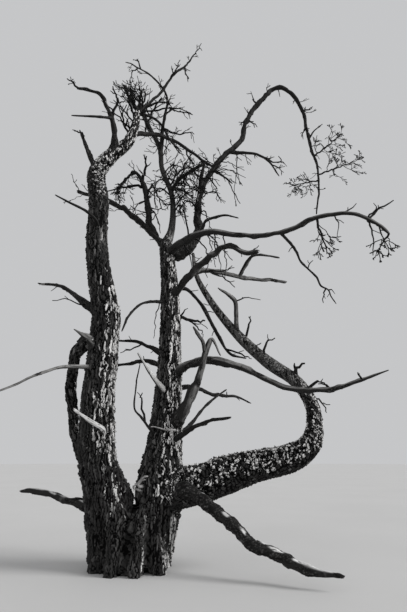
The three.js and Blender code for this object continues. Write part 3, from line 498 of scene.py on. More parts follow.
# How much old bark each finish still has, and the radius from which on it is all bark
OLD_BARK = {"bark": 0.9, "grey": 0.08, "dark": 0.16, "pale": -0.4, "worn": 0.24}
BARK_RADIUS = {"bark": 0, "grey": 62, "dark": 40, "pale": 62, "worn": 42}
# The material and the slot of each finish
FINISHES = {
    "bark": ("fissured_bark", "bark"),
    "grey": ("weathered_wood", "grey_wood"),
    # The dark finish is painted shade: its limbs get a darker copy of the grey wood.
    "dark": ("shaded_crown_wood", "grey_wood"),
    "pale": ("bleached_wood", "pale_wood"),
    "worn": ("bleached_wood", "pale_wood"),
}
# Boughs, in metres: how many sides a limb has by its radius, the lengths between two kinks, the
# width of a plate of left bark, and the turn of the grain in radians to the metre
BOUGH_SIDES = ((0.05, 30), (0.03, 22), (0.014, 16), (0.0, 10))
KINK_LEAST = 0.07
KINK_MORE = 0.16
WOOD_PLATE = 0.026
GRAIN_TWIST = 2.2

# The stage: its floor, the place that both lights shine on, and where each light shines from
FLOOR_RADIUS = 60.0
LIT_PLACE = (0.5, 0.0, 2.5)
KEY_PLACE = (7.0, -1.5, 7.0)
FILL_PLACE = (-3.0, -7.0, 4.0)
# How soft the lights are, in degrees
KEY_SOFTNESS = 25
FILL_SOFTNESS = 60


# Sizes and colours that a user would change

class BarkSettings(bpy.types.PropertyGroup):
    """The fissured bark of the stems"""

    cell: FloatProperty(
        name="Mesh cell", description="Size of the squares that the bark is modelled in",
        default=0.0085, min=0.005, max=0.03, unit="LENGTH")
    plate_width: FloatProperty(
        name="Plate width", description="Width of a bark plate round the stem",
        default=0.027, min=0.01, max=0.2, unit="LENGTH")
    plate_length: FloatProperty(
        name="Plate length", description="Length of a bark plate along the stem",
        default=0.2, min=0.02, max=0.5, unit="LENGTH")
    scale_width: FloatProperty(
        name="Scale width", description="Width of the rounder scales on the leaning stem",
        default=0.04, min=0.01, max=0.2, unit="LENGTH")
    furrow_depth: FloatProperty(
        name="Furrow depth", description="Depth of the furrows on the thickest wood",
        default=0.03, min=0.0, max=0.05, unit="LENGTH")
    plate_colour: FloatVectorProperty(
        name="Plates", description="Colour of the plates", subtype="COLOR",
        default=(0.1, 0.098, 0.096))
    # The furrows are near-black: partly their own darker bark, partly painted shade.
    furrow_colour: FloatVectorProperty(
        name="Furrows", description="Colour of the furrows", subtype="COLOR",
        default=(0.002, 0.0019, 0.0019))
    flake_colour: FloatVectorProperty(
        name="Flakes", description="Colour of weathered flakes", subtype="COLOR",
        default=(0.9, 0.89, 0.875))


class BoughSettings(bpy.types.PropertyGroup):
    """The bare wood of the boughs"""

    ring_step: FloatProperty(
        name="Ring step", description="Distance between the rings of a bough's mesh",
        default=0.014, min=0.005, max=0.1, unit="LENGTH")
    wander: FloatProperty(
        name="Wander", description="How far a bough strays from its smooth line, as a share of its radius",
        default=0.5, min=0.0, max=1.0, subtype="FACTOR")
    knot_spacing: FloatProperty(
        name="Knot spacing", description="Usual distance between two knots",
        default=0.16, min=0.03, max=1.0, unit="LENGTH")
    grey_colour: FloatVectorProperty(
        name="Grey wood", description="Colour of the weathered wood", subtype="COLOR",
        default=(0.2, 0.197, 0.193))
    # The crown's wood is a darker copy of the grey wood: painted shade, for the dark limbs and the stems'
    # bare wood.
    shaded_crown_colour: FloatVectorProperty(
        name="Crown wood", description="Colour of the darker wood high in the crown", subtype="COLOR",
        default=(0.034, 0.0334, 0.0328))
    # Also the base of the painted shade on a bough's side away from the key light. The cracks are near-black:
    # partly their own dark, partly painted shade.
    dark_colour: FloatVectorProperty(
        name="Cracks", description="Colour of cracks and left bark", subtype="COLOR",
        default=(0.008, 0.0078, 0.0076))
    pale_colour: FloatVectorProperty(
        name="Pale wood", description="Colour of wood bleached by the sun", subtype="COLOR",
        default=(0.74, 0.73, 0.71))


class TwigSettings(bpy.types.PropertyGroup):
    """The fine twigs"""

    least: FloatProperty(
        name="Least thickness", description="Thickness of the finest twig",
        default=0.009, min=0.001, max=0.02, unit="LENGTH")
    sides: IntProperty(
        name="Sides", description="Sides of a twig's round section", default=4, min=4, max=12)
    spur_spacing: FloatProperty(
        name="Spur spacing", description="Usual distance between two short spurs on a bough",
        default=0.17, min=0.03, max=2.0, unit="LENGTH")
    dark_colour: FloatVectorProperty(
        name="Dark twigs", description="Colour of the darker sprays", subtype="COLOR",
        default=(0.006, 0.0059, 0.0058))
    grey_colour: FloatVectorProperty(
        name="Grey twigs", description="Colour of the greyer sprays", subtype="COLOR",
        default=(0.016, 0.0157, 0.0154))
    pale_colour: FloatVectorProperty(
        name="Pale twigs", description="Colour of the barkless sprays", subtype="COLOR",
        default=(0.3, 0.295, 0.29))


class StageSettings(bpy.types.PropertyGroup):
    """Floor, light and camera"""

    lens: FloatProperty(
        name="Lens", description="Focal length of the camera", default=28.0, min=10.0, unit="CAMERA")
    eye: FloatVectorProperty(
        name="Eye", description="Where the camera stands", subtype="XYZ", unit="LENGTH",
        default=(0.72, -5.59, 1.15))
    pitch: FloatProperty(
        name="Pitch", description="How far the camera looks up", subtype="ANGLE",
        default=math.radians(17.3))
    yaw: FloatProperty(
        name="Yaw", description="How far the camera is turned to the left", subtype="ANGLE",
        default=math.radians(0.1))
    floor_colour: FloatVectorProperty(
        name="Floor", description="Colour of the floor", subtype="COLOR", default=(0.52, 0.517, 0.512))
    sky_colour: FloatVectorProperty(
        name="Backdrop", description="Colour of the light all round", subtype="COLOR",
        default=(0.56, 0.565, 0.575))
    key_strength: FloatProperty(
        name="Key light", description="Strength of the soft light from the right", default=2.5, min=0.0)
    fill_strength: FloatProperty(
        name="Fill light", description="Strength of the weaker light from the left", default=0.5, min=0.0)


class TreeSettings(bpy.types.PropertyGroup):
    """All settings of the dead pine"""

    bark: PointerProperty(type=BarkSettings)
    boughs: PointerProperty(type=BoughSettings)
    twigs: PointerProperty(type=TwigSettings)
    stage: PointerProperty(type=StageSettings)


def settings():
    return bpy.context.scene.dead_pine


# Numbers

def smooth_step(low, high, value):
    """A soft step from 0 to 1 of an array of numbers."""
    share = np.clip((value - low) / (high - low), 0.0, 1.0)
    return share * share * (3 - 2 * share)


def ease(share):
    """A soft step from 0 to 1 of one number."""
    share = min(1.0, max(0.0, share))
    return share * share * (3 - 2 * share)


def mix(first, second, share):
    return first + (second - first) * share


def unit(vector):
    return vector / np.linalg.norm(vector)


def facing(normals, way):
    """How squarely each normal faces a way."""
    return normals @ unit(np.array(way))


def random_from(seed):
    """A small seeded generator of numbers from 0 to 1, the same one that shapes the solids."""
    whole = SEED_COUNT - 1
    state = seed & whole

    def draw():
        nonlocal state
        state = (state + 0x6D2B79F5) & whole
        mixed = ((state ^ (state >> 15)) * (state | 1)) & whole
        mixed ^= (mixed + (((mixed ^ (mixed >> 7)) * (mixed | 61)) & whole)) & whole
        return (mixed ^ (mixed >> 14)) / SEED_COUNT

    return draw


def any_way(draw):
    """A short vector that points anywhere."""
    return np.array([draw() - 0.5, draw() - 0.5, draw() - 0.5])


# Centre lines

class Line:
    """A smooth centre line through rows of x, y, z and thickness, in metres."""

    def __init__(self, rows):
        self.rows = np.array(rows, float)
        self.points = self.rows[:, :3]
        self.last = len(rows) - 1

    def point(self, row):
        points = self.points
        before = min(int(row), self.last - 1)
        share = row - before
        start, end = points[before], points[before + 1]
        ahead = points[before + 2] if before + 2 <= self.last else 2 * end - start
        behind = points[before - 1] if before > 0 else 2 * start - end
        gaps = [math.dist(a, b) ** 0.5 for a, b in ((behind, start), (start, end), (end, ahead))]
        leave = (start - behind) / gaps[0] - (end - behind) / (gaps[0] + gaps[1]) + (end - start) / gaps[1]
        reach = (end - start) / gaps[1] - (ahead - start) / (gaps[1] + gaps[2]) + (ahead - end) / gaps[2]
        leave = leave * gaps[1]
        reach = reach * gaps[1]
        square = -3 * start + 3 * end - 2 * leave - reach
        cube = 2 * start - 2 * end + leave + reach
        return start + share * (leave + share * (square + share * cube))

    def thickness(self, row):
        before = min(int(row), self.last - 1)
        return mix(self.rows[before, 3], self.rows[before + 1, 3], row - before)

    def nearest(self, target):
        """The row of the point on the line that lies nearest to a place."""
        parts = 24 * self.last
        rows = [part / parts * self.last for part in range(parts + 1)]
        return min(rows, key=lambda row: math.dist(self.point(row), target))

    def along(self, step):
        """Rows at even steps of length, and the length from the start to each."""
        rows = np.linspace(0, self.last, 24 * self.last + 1)
        points = np.array([self.point(row) for row in rows])
        lengths = np.concatenate([[0], np.cumsum(np.linalg.norm(np.diff(points, axis=0), axis=1))])
        wanted = np.linspace(0, lengths[-1], max(3, round(lengths[-1] / step) + 1))
        return np.interp(wanted, lengths, rows), wanted


class Limb:
    """A limb with its line, and its radius, which swells where it leaves a thicker carrier."""

    def __init__(self, name, carrier, finish, rows):
        self.name = name
        self.finish = finish
        rows = np.array(rows, float) * MM
        carrier_radius = 0.0
        if carrier is not None:
            row = carrier.line.nearest(rows[0, :3])
            rows[0, :3] = carrier.line.point(row)
            carrier_radius = carrier.radius(row)
        self.line = Line(rows)
        self.carrier_radius = carrier_radius
        self.swell = 0.0
        if carrier_radius > 0:
            self.swell = COLLAR_SWELL * max(0.0, 1 - rows[0, 3] / 2 / carrier_radius)

    def radius(self, row):
        away = 1.0
        if self.carrier_radius > 0:
            start = self.line.point(0)
            away = math.dist(self.line.point(row), start) / (COLLAR_REACH * self.carrier_radius)
        return self.line.thickness(row) / 2 * (1 + self.swell * max(0.0, 1 - away))


def make_limbs():
    """All limbs by name. A limb's carrier stands before it in the table."""
    made = {}
    for name, (carrier, finish, rows) in LIMBS.items():
        made[name] = Limb(name, made.get(carrier), finish, rows)
    return made


limbs = make_limbs()


# Strands: round tubes that Blender's curves sweep along a list of points

class Strand:
    """The points and radii of one tube, and which of a piece's materials it takes."""

    def __init__(self, points, radii, material=0):
        self.points = np.asarray(points, float)
        self.radii = np.asarray(radii, float)
        self.material = material


def swept_mesh(name, strands, sides):
    """One mesh of open tubes, ring after ring along each strand."""
    curve = bpy.data.curves.new(name, "CURVE")
    curve.dimensions = "3D"
    curve.bevel_depth = 1.0
    curve.bevel_resolution = (sides - 4) // 2
    for _ in range(1 + max(strand.material for strand in strands)):
        curve.materials.append(None)
    for strand in strands:
        spline = curve.splines.new("POLY")
        spline.points.add(len(strand.points) - 1)
        flat = np.ones((len(strand.points), 4))
        flat[:, :3] = strand.points
        spline.points.foreach_set("co", flat.ravel())
        spline.points.foreach_set("radius", strand.radii)
        spline.material_index = strand.material
    holder = bpy.data.objects.new(name, curve)
    bpy.context.scene.collection.objects.link(holder)
    shown = holder.evaluated_get(bpy.context.evaluated_depsgraph_get())
    mesh = bpy.data.meshes.new_from_object(shown)
    bpy.data.objects.remove(holder)
    bpy.data.curves.remove(curve)
    mesh.name = name
    while mesh.uv_layers:
        mesh.uv_layers.remove(mesh.uv_layers[0])
    return mesh


@contextlib.contextmanager
def reshaped(mesh):
    """Opens a mesh for bmesh's operators, and writes what they make back to it."""
    shape = bmesh.new()
    shape.from_mesh(mesh)
    yield shape
    shape.to_mesh(mesh)
    shape.free()


def close_holes(shape):
    """Closes the open ends of a shape with sharp-edged caps."""
    rims = [edge for edge in shape.edges if edge.is_boundary]
    caps = bmesh.ops.holes_fill(shape, edges=rims, sides=0)["faces"]
    for cap in caps:
        for edge in cap.edges:
            edge.smooth = False


def close_ends(mesh):
    """Closes the open ends of a mesh of tubes, and turns all its faces outwards."""
    with reshaped(mesh) as shape:
        close_holes(shape)
        bmesh.ops.recalc_face_normals(shape, faces=shape.faces)


def read_vectors(mesh, field):
    """The places or the normals of a mesh's vertices, one row each."""
    vectors = np.zeros(len(mesh.vertices) * 3, np.float32)
    mesh.vertices.foreach_get(field, vectors)
    return vectors.reshape(-1, 3).astype(float)


def write_places(mesh, places):
    mesh.vertices.foreach_set("co", places.astype(np.float32).ravel())
    mesh.update()


def keep_values(mesh, **values):
    """Keeps one number, or one vector, for each vertex under each name that materials read."""
    for name, numbers in values.items():
        numbers = np.asarray(numbers, np.float32)
        kind, field = ("FLOAT", "value") if numbers.ndim == 1 else ("FLOAT_VECTOR", "vector")
        mesh.attributes.new(name, kind, "POINT").data.foreach_set(field, numbers.ravel())


def finish_piece(mesh, materials, nodes=()):
    """Makes a finished piece of a mesh: it rides with the tree and stands for its CAD nodes."""
    while len(mesh.materials) < len(materials):
        mesh.materials.append(None)
    for index, name in enumerate(materials):
        mesh.materials[index] = bpy.data.materials[name]
    mesh.polygons.foreach_set("use_smooth", [True] * len(mesh.polygons))
    piece = bpy.data.objects.new(mesh.name, mesh)
    bpy.context.scene.collection.objects.link(piece)
    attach(piece, "root")
    if nodes:
        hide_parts(*nodes)


# Stems

def tube_strand(line, radius):
    """A tube along a line, as thick as the function of its rows tells."""
    rows, _ = line.along(STRAND_STEP)
    return Strand([line.point(row) for row in rows], [radius(row) for row in rows])


def row_strand(rows):
    """A tube along rows in millimetres, as thick as they tell."""
    line = Line(np.array(rows) * MM)
    return tube_strand(line, lambda row: line.thickness(row) / 2)


def collar_strand(limb):
    """The foot of a bough, which the skin of the stems covers and thins out along it."""
    rows, lengths = limb.line.along(COLLAR_STEP)
    covered = limb.carrier_radius + 1.6 * limb.radius(0)
    share = lengths / covered
    points = [limb.line.point(row) for row in rows[share <= 1]]
    radii = [limb.radius(row) * (1.08 - 0.4 * part**2) for row, part in zip(rows, share) if part <= 1]
    return Strand(points, radii)


def base_strands():
    """The tubes that the skin of the base is wrapped round: core, web and root ridges."""
    found = [row_strand(BASE_CORE), row_strand(CROTCH_WEB)]
    for toward, reach in FLARE_RIDGES:
        angle = math.radians(toward)
        x, y = math.cos(angle) * reach, math.sin(angle) * reach
        found.append(row_strand([
            (x * 0.5, y * 0.5, FLARE_TOP, FLARE_THICK_TOP),
            (x * 0.78, y * 0.78, FLARE_TOP * 0.35, FLARE_THICK_TOP),
            (x, y, -FLARE_THICK_FOOT / 2, FLARE_THICK_FOOT)]))
    return found


def applied(mesh, *modifiers):
    """The mesh after some modifiers, each given as a kind and its values."""
    holder = bpy.data.objects.new("work", mesh)
    bpy.context.scene.collection.objects.link(holder)
    for kind, values in modifiers:
        modifier = holder.modifiers.new(kind, kind)
        for key, value in values.items():
            setattr(modifier, key, value)
    shown = holder.evaluated_get(bpy.context.evaluated_depsgraph_get())
    result = bpy.data.meshes.new_from_object(shown)
    bpy.data.objects.remove(holder)
    bpy.data.meshes.remove(mesh)
    return result


def stem_skin(cell):
    """One closed skin round the base and the three stems, with their crotches smoothed."""
    strands = [tube_strand(limbs[name].line, limbs[name].radius) for name in STEMS]
    strands += [
        collar_strand(limbs[name]) for name, (carrier, _, rows) in LIMBS.items()
        if carrier in STEMS and name not in STEMS and rows[0][3] >= COLLAR_LEAST]
    mesh = swept_mesh("stem_skin", strands + base_strands(), sides=32)
    close_ends(mesh)
    skin = applied(
        mesh,
        ("REMESH", {"mode": "VOXEL", "voxel_size": cell, "adaptivity": 0.0}),
        ("SMOOTH", {"factor": 0.5, "iterations": 6}))
    with reshaped(skin) as shape:
        low = [vert for vert in shape.verts if vert.co.z < CROTCH_TOP * MM]
        for _ in range(CROTCH_SMOOTHING):
            bmesh.ops.smooth_vert(
                shape, verts=low, factor=0.5, use_axis_x=True, use_axis_y=True, use_axis_z=True)
    return skin


class StemSamples:
    """Samples along one stem: it tells where round and along the stem a place lies."""

    def __init__(self, limb):
        rows, self.lengths = limb.line.along(SAMPLE_STEP)
        self.points = np.array([limb.line.point(row) for row in rows])
        self.radii = np.array([limb.radius(row) for row in rows])
        tangents = np.gradient(self.points, axis=0)
        side = np.array([0.3, 1.0, 0.2])
        self.sides, self.others = [], []
        for tangent in tangents:
            along = unit(tangent)
            side = unit(side - side.dot(along) * along)
            self.sides.append(side)
            self.others.append(np.cross(along, side))
        self.sides = np.array(self.sides)
        self.others = np.array(self.others)
        self.tree = kdtree.KDTree(len(self.points))
        for i, point in enumerate(self.points):
            self.tree.insert(point, i)
        self.tree.balance()

    def places(self, points):
        """Each point's distance from the stem's surface, its angle, and the length and radius there."""
        nearest = np.array([self.tree.find(point)[1] for point in points])
        away = points - self.points[nearest]
        distance = np.linalg.norm(away, axis=1) - self.radii[nearest]
        angle = np.arctan2(
            (away * self.others[nearest]).sum(axis=1), (away * self.sides[nearest]).sum(axis=1))
        return distance, angle, self.lengths[nearest], self.radii[nearest]


def bark_at(spot, width, length, seed):
    """How far the bark stands out at a spot, 0 in a furrow and up to 1 on a plate, and the plate's tone."""
    stray = noise.noise_vector(spot * 8.0 + seed)
    ragged = noise.noise_vector(spot * 36.0 - seed)
    cell = Vector((
        (spot.x + stray.x * 0.03 + ragged.x * 0.01) / width,
        (spot.y + stray.y * 0.03 + ragged.y * 0.01) / width,
        (spot.z + stray.z * 0.1 + ragged.z * 0.03) / length))
    distances, centres = noise.voronoi(cell)
    joint = (centres[1] - centres[0]).normalized().z ** 2
    plate = ease((distances[1] - distances[0] - 0.03) / 0.24)
    plate = mix(plate, 1.0, 0.6 * joint * min(1.0, length / width / 3))
    drawn = Vector((spot.x * 30, spot.y * 30, spot.z * 30 * width / length))
    split = ease(abs(noise.noise(drawn - seed)) / 0.13)
    away = cell - centres[0]
    tilt = away.x * (noise.cell(centres[0] * 3.3) - 0.5) * 0.9 - away.z * 0.3
    rough = noise.noise(cell * 4.3 + seed) * 0.26
    return plate * (0.3 + 0.7 * split) * (0.72 + tilt + rough), noise.cell(centres[0] * 5.1 + seed)


def nearest_stems(places):
    """Each place's stem, its angle, length and radius there, and how far it is the leaning stem's."""
    found = [StemSamples(limbs[name]).places(places) for name in STEMS]
    distances = np.array([one[0] for one in found])
    stem = np.argmin(distances, axis=0)
    angle, length, radius = (np.choose(stem, [one[i] for one in found]) for i in (1, 2, 3))
    leaning = smooth_step(-STEM_BLEND, STEM_BLEND, distances[:2].min(axis=0) - distances[2])
    return stem, angle, length, radius, leaning


def cleft_depth(places, normals):
    """How deep the folds of the base are: between its root ridges, and in line with the crotch."""
    x, z = places[:, 0], places[:, 2]
    compass = np.degrees(np.arctan2(places[:, 1], x)) % 360
    ridges = np.array(sorted(toward for toward, _ in FLARE_RIDGES))
    around = np.concatenate([ridges - 360, ridges, ridges + 360])
    away = np.sort(np.abs(compass[:, None] - around[None]), axis=1)
    valley = smooth_step(0.25, 1.0, away[:, 0] / ((away[:, 0] + away[:, 1]) / 2))
    low = 1 - smooth_step(*FOLDS_FADE, z)
    crotch = np.exp(-((x - CROTCH_PLACE * MM) / CLEFT_WIDTH) ** 2) * (1 - smooth_step(*CLEFT_HEAD, z))
    crotch *= smooth_step(*CLEFT_FOOT, z) * (1 - smooth_step(0.4, 0.9, np.abs(normals[:, 0])))
    return low * FOLD_DEPTH * MM * valley + crotch * CLEFT_DEPTH * MM


def carve_bark(mesh, bark):
    """Moves the skin's vertices in and out into furrows and plates, and keeps what materials need."""
    places = read_vectors(mesh, "co")
    normals = read_vectors(mesh, "normal")
    stem, angle, length, radius, leaning = nearest_stems(places)
    left = stem == STEMS.index("left_stem")
    crook = np.where(left, smooth_step(*CROOK, length), 0.0)
    rise = leaning * smooth_step(*BARE_RISE, length)
    underside = leaning * smooth_step(0.1, 0.7, -normals[:, 2])
    barked = np.where(
        left | (leaning > 0.5),
        smooth_step(*OTHERS_BARKED, radius), smooth_step(*MIDDLE_BARKED, radius))

    roundness = np.maximum(leaning * (1 - 0.5 * smooth_step(*THIN_RISE, length)), 0.9 * crook)
    width = mix(bark.plate_width, bark.scale_width, roundness)
    width = width * mix(NARROW_PLATES, 1.0, smooth_step(*PLATE_RADII, radius))
    plate_length = mix(bark.plate_length, bark.scale_width * 1.15, roundness)
    relief, tones, lobes = np.zeros((3, len(places)))
    seed = Vector((11.0, 4.0, 7.0))
    for i, place in enumerate(places):
        spot = Vector(place)
        relief[i], tones[i] = bark_at(spot, width[i], plate_length[i], seed)
        lobes[i] = noise.noise(Vector((spot.x * 7.0, spot.y * 7.0, spot.z * 2.2)) + seed)
    shape = mix(0.55 + 0.12 * lobes, relief, np.maximum(barked, 0.5) * (1 - 0.2 * rise))
    depth = bark.furrow_depth * np.clip(radius / FURROW_RADIUS, 0.16, 1.0) * (0.35 + 0.65 * barked)
    depth *= (1 - 0.6 * underside) * (1 - 0.6 * rise)
    out = depth * (shape - MID_RELIEF) + np.minimum(radius, 0.2) * LOBE_DEPTH * lobes
    out = out - cleft_depth(places, normals)
    write_places(mesh, places + normals * out[:, None])

    # Painted shade: darker towards the foot of the stems, with an uneven edge.
    shade = smooth_step(*SHADED_FOOT, places[:, 2] + 0.3 * lobes)
    # Painted light: flakes are bright on the side that faces the key light, on the side that faces back and
    # on a rim at the right edge, with painted shade under the leaning stem. The leaning stem and the crook
    # get more flakes, and the left stem's upper bark and faces that look up get fewer.
    lit = np.maximum(facing(normals, KEY_LIT_SIDE), facing(normals, PAINTED_LIGHT_BACK) - 0.15)
    side = smooth_step(0.05, 0.5, lit + 0.3 * crook + 0.5 * leaning) * (1 - 0.85 * underside)
    rim = 0.7 * smooth_step(0.7, 0.95, facing(normals, PAINTED_RIM_LIGHT)) * (1 - leaning)
    # At the foot the painted light is dimmed by the painted shade, less behind than in front.
    least = mix(*FOOT_PAINTED_LIGHT, smooth_step(0.1, 0.6, normals[:, 1]))
    ledge = smooth_step(0.15, 0.5, normals[:, 2]) * (1 - leaning) * (1 - crook)
    upper = np.where(left, smooth_step(*UPPER_BARK, length), 0.0) * (1 - crook)
    neck = (stem == STEMS.index("leaning_stem")) & (places[:, 0] < NECK * MM)
    part = np.where(neck, STEMS.index("middle_stem"), stem)
    keep_values(
        mesh,
        relief=np.clip(shape, 0, 1.2),
        bare=np.maximum(1 - barked, 0.8 * rise),
        worn=rise,
        # The plates' own tone, darkened towards the foot with painted shade.
        tone=tones * mix(0.5, 1.0, shade),
        bleach=side * np.maximum(rim, mix(least, 1.0, shade)) * (1 - ledge) * (1 - 0.85 * upper),
        place=np.column_stack([np.cos(angle) * radius, np.sin(angle) * radius, length]),
        part=np.where(places[:, 2] < FORK_HEIGHT * MM, len(STEMS), part))
    return mesh


def cut_at_ground(mesh):
    """Cuts away what lies below the ground, and closes the cut with a flat face."""
    with reshaped(mesh) as shape:
        bmesh.ops.bisect_plane(
            shape, geom=shape.verts[:] + shape.edges[:] + shape.faces[:], plane_co=(0, 0, 0),
            plane_no=(0, 0, -1), clear_outer=True, clear_inner=False)
        close_holes(shape)


def part_of_skin(skin, name, part):
    """A copy of the skin's faces that belong to one part. Parts share their rims, so no gap shows."""
    mesh = skin.copy()
    mesh.name = name
    with reshaped(mesh) as shape:
        layer = shape.verts.layers.float["part"]
        others = [face for face in shape.faces if round(face.verts[0][layer]) != part]
        bmesh.ops.delete(shape, geom=others, context="FACES")
    return mesh


def make_stems(bark):
    """The skin of the stems, carved, cut at the ground and parted into its pieces."""
    skin = carve_bark(stem_skin(bark.cell), bark)
    cut_at_ground(skin)
    for part, (name, nodes) in enumerate(SKIN_PARTS.items()):
        mesh = part_of_skin(skin, name, part)
        finish_piece(mesh, ["fissured_bark"], nodes)
    bpy.data.meshes.remove(skin)


# Boughs

def natural_path(limb, step, wander, seed):
    """A limb's points with the angular kinks of a grown bough, its radii, and the length to each."""
    rows, lengths = limb.line.along(step)
    points = np.array([limb.line.point(row) for row in rows])
    radii = np.array([limb.radius(row) for row in rows])
    draw = random_from(seed + KINK_SEED)
    bends = [0.0]
    while bends[-1] < lengths[-1]:
        bends.append(bends[-1] + KINK_LEAST + KINK_MORE * draw())
    for axis in range(3):
        strays = [0.0] + [2 * draw() - 1 for _ in bends[1:]]
        stray = np.interp(lengths, bends, strays)
        points[:, axis] += stray * wander * np.clip(radii, 0.018, 0.03) * np.minimum(1.0, lengths / 0.25)
    offset = Vector((seed * 3.1 + 9, seed * 1.7, 0.0))
    for i, length in enumerate(lengths):
        radii[i] *= 1 + 0.2 * noise.noise(offset + Vector((0, 0, length / 0.1)))
    return points, radii, lengths


def sides_for(radius):
    """How many sides the mesh of a limb with this radius has."""
    return next(sides for least, sides in BOUGH_SIDES if radius > least)


def carve_wood(mesh, sides, radii, lengths, limb, seed, knots):
    """Moves a bough's rings in and out into twisted grain, cracks, knots and left flakes of bark."""
    places = read_vectors(mesh, "co").reshape(len(radii), sides, 3)
    centres = places.mean(axis=1)
    outward = (places - centres[:, None]) / radii[:, None, None]
    offset = Vector((seed * 2.3, 1.0, seed * 0.7))
    relief, bare, tones = np.zeros((3, len(radii), sides))
    spots = np.zeros((len(radii), sides, 3))
    for i, (radius, length) in enumerate(zip(radii, lengths)):
        old_bark = OLD_BARK[limb.finish] + 0.8 * ease((radius - BARK_RADIUS[limb.finish] * MM) / 0.02)
        for j, angle in enumerate(np.arange(sides) / sides * math.tau):
            turned_on = angle + GRAIN_TWIST * length
            x, y = math.cos(turned_on) * radius, math.sin(turned_on) * radius
            spots[i, j] = (x, y, length)
            spot = Vector((x, y, length)) + offset
            flute = noise.noise(Vector((x * 34, y * 34, length * 2.6)) + offset)
            lump = noise.noise(Vector((x * 14, y * 14, length * 11)) + offset)
            crack = abs(noise.noise(Vector((x * 70, y * 70, length * 3.4)) + offset))
            left = noise.noise(Vector((x * 16, y * 16, length * 6)) - offset) + old_bark
            plate, tones[i, j] = bark_at(spot, WOOD_PLATE, WOOD_PLATE * 2.6, offset)
            flake = ease((left - 0.28) / 0.22)
            wood = ease(crack / 0.08)
            out = radius * (0.2 * flute + 0.12 * lump - 0.13 * (1 - wood))
            out += flake * (0.003 + 0.12 * radius) * (plate - 0.3)
            for at, turned_to, size in knots:
                near = ((length - at) / (1.2 * size)) ** 2
                if near < 4:
                    out += size * 0.34 * math.exp(-near) * max(0.0, math.cos(angle - turned_to)) ** 3
            places[i, j] += (places[i, j] - centres[i]) / radius * out
            relief[i, j] = mix(wood * (0.85 + 0.6 * flute), plate, flake)
            bare[i, j] = 1 - flake
    break_tip(places, centres, radii, seed)
    write_places(mesh, places.reshape(-1, 3))
    # Kept last: how squarely each side of the bough faces the key light, for the painted shade on the side
    # away from it.
    low = PAINTED_LIGHT_FROM[limb.finish]
    keep_values(
        mesh,
        relief=np.clip(relief.ravel(), 0, 1.2),
        bare=bare.ravel(),
        tone=tones.ravel(),
        place=spots.reshape(-1, 3) + np.array(offset),
        bleach=smooth_step(low, min(1.0, low + 0.6), facing(outward.reshape(-1, 3), KEY_LIT_SIDE)))


def break_tip(places, centres, radii, seed):
    """Ends a limb in a short broken stub: uneven teeth, drawn in a little."""
    draw = random_from(seed + TIP_SEED)
    way = unit(centres[-1] - centres[-3])
    thick = radii[-1]
    for j in range(places.shape[1]):
        tooth = (draw() ** 2) * 1.6 * thick
        places[-1, j] = mix(places[-1, j], centres[-1], 0.35) + way * (tooth - 0.5 * thick)
        places[-2, j] = mix(places[-2, j], centres[-2], 0.06)


def knots_for(lengths, radii, spacing, seed):
    """The knots along a bough: the length to each, the way it faces, and its size."""
    draw = random_from(seed + KNOT_SEED)
    knots = []
    at = 0.12 + draw() * spacing
    while at < lengths[-1] - 0.03:
        radius = float(np.interp(at, lengths, radii))
        knots.append((at, draw() * math.tau, radius * (0.6 + 0.7 * draw())))
        at += spacing * (0.4 + 1.2 * draw())
    return knots


def make_bough(limb, seed, boughs):
    """One bough with its grain and knots, as a piece of its own."""
    points, radii, lengths = natural_path(limb, boughs.ring_step, boughs.wander, seed)
    sides = sides_for(radii[0])
    mesh = swept_mesh(limb.name + "_wood", [Strand(points, radii)], sides)
    knots = knots_for(lengths, radii, boughs.knot_spacing, seed)
    carve_wood(mesh, sides, radii, lengths, limb, seed, knots)
    close_ends(mesh)
    material, slot = FINISHES[limb.finish]
    nodes = [limb.name]
    if limb.name in SECOND_NODES:
        nodes.append(SECOND_NODES[limb.name])
    finish_piece(mesh, [material], nodes)


def make_boughs(boughs):
    """All limbs but the stems, which the skin of bark covers."""
    for seed, (name, limb) in enumerate(limbs.items()):
        if name not in STEMS:
            make_bough(limb, seed, boughs)


# Twigs

class Space:
    """The rounded space that a mass of twigs keeps to, and the limbs it must not touch."""

    def __init__(self, middle, half, samples=None):
        self.middle = np.array(middle, float) * MM
        self.half = np.array(half, float) * MM
        self.points = np.zeros((0, 3))
        self.radii = np.zeros(0)
        if samples is not None:
            points, radii = samples
            near = np.all(np.abs(points - self.middle) < self.half + radii[:, None] + 0.1, axis=1)
            self.points = points[near]
            self.radii = radii[near]

    def holds(self, points):
        shares = (points - self.middle) / self.half
        return bool(np.all((shares**2).sum(axis=1) <= 1))

    def touches(self, points, thickness):
        if len(self.points) == 0:
            return False
        away = np.linalg.norm(points[:, None] - self.points[None], axis=2)
        return bool(np.any(away < self.radii + thickness / 2 + CLEAR_OF_LIMBS * MM))


def limb_samples():
    """Points and radii along all limbs, which the masses of twigs keep clear of."""
    points, radii = [], []
    for limb in limbs.values():
        for i in range(12 * limb.line.last + 1):
            points.append(limb.line.point(i / 12))
            radii.append(limb.radius(i / 12))
    return np.array(points), np.array(radii)


def twig_line(twig, length):
    """The bent line of a twig, which thins out to its tip."""
    start, heading, sway = twig["start"], twig["heading"], twig["sway"]
    middle = start + heading * length / 2 + sway * length / 4
    end = start + heading * length + sway * length / 9
    tip = max(twig["thickness"] * TWIG_TIP, LEAST_THICK * MM)
    thicks = (twig["thickness"], mix(twig["thickness"], tip, 0.5), tip)
    return Line([(*point, thick) for point, thick in zip((start, middle, end), thicks)])


def turned(vector, axis, angle):
    """A vector turned about an axis."""
    return (vector * math.cos(angle) + np.cross(axis, vector) * math.sin(angle)
            + axis * axis.dot(vector) * (1 - math.cos(angle)))


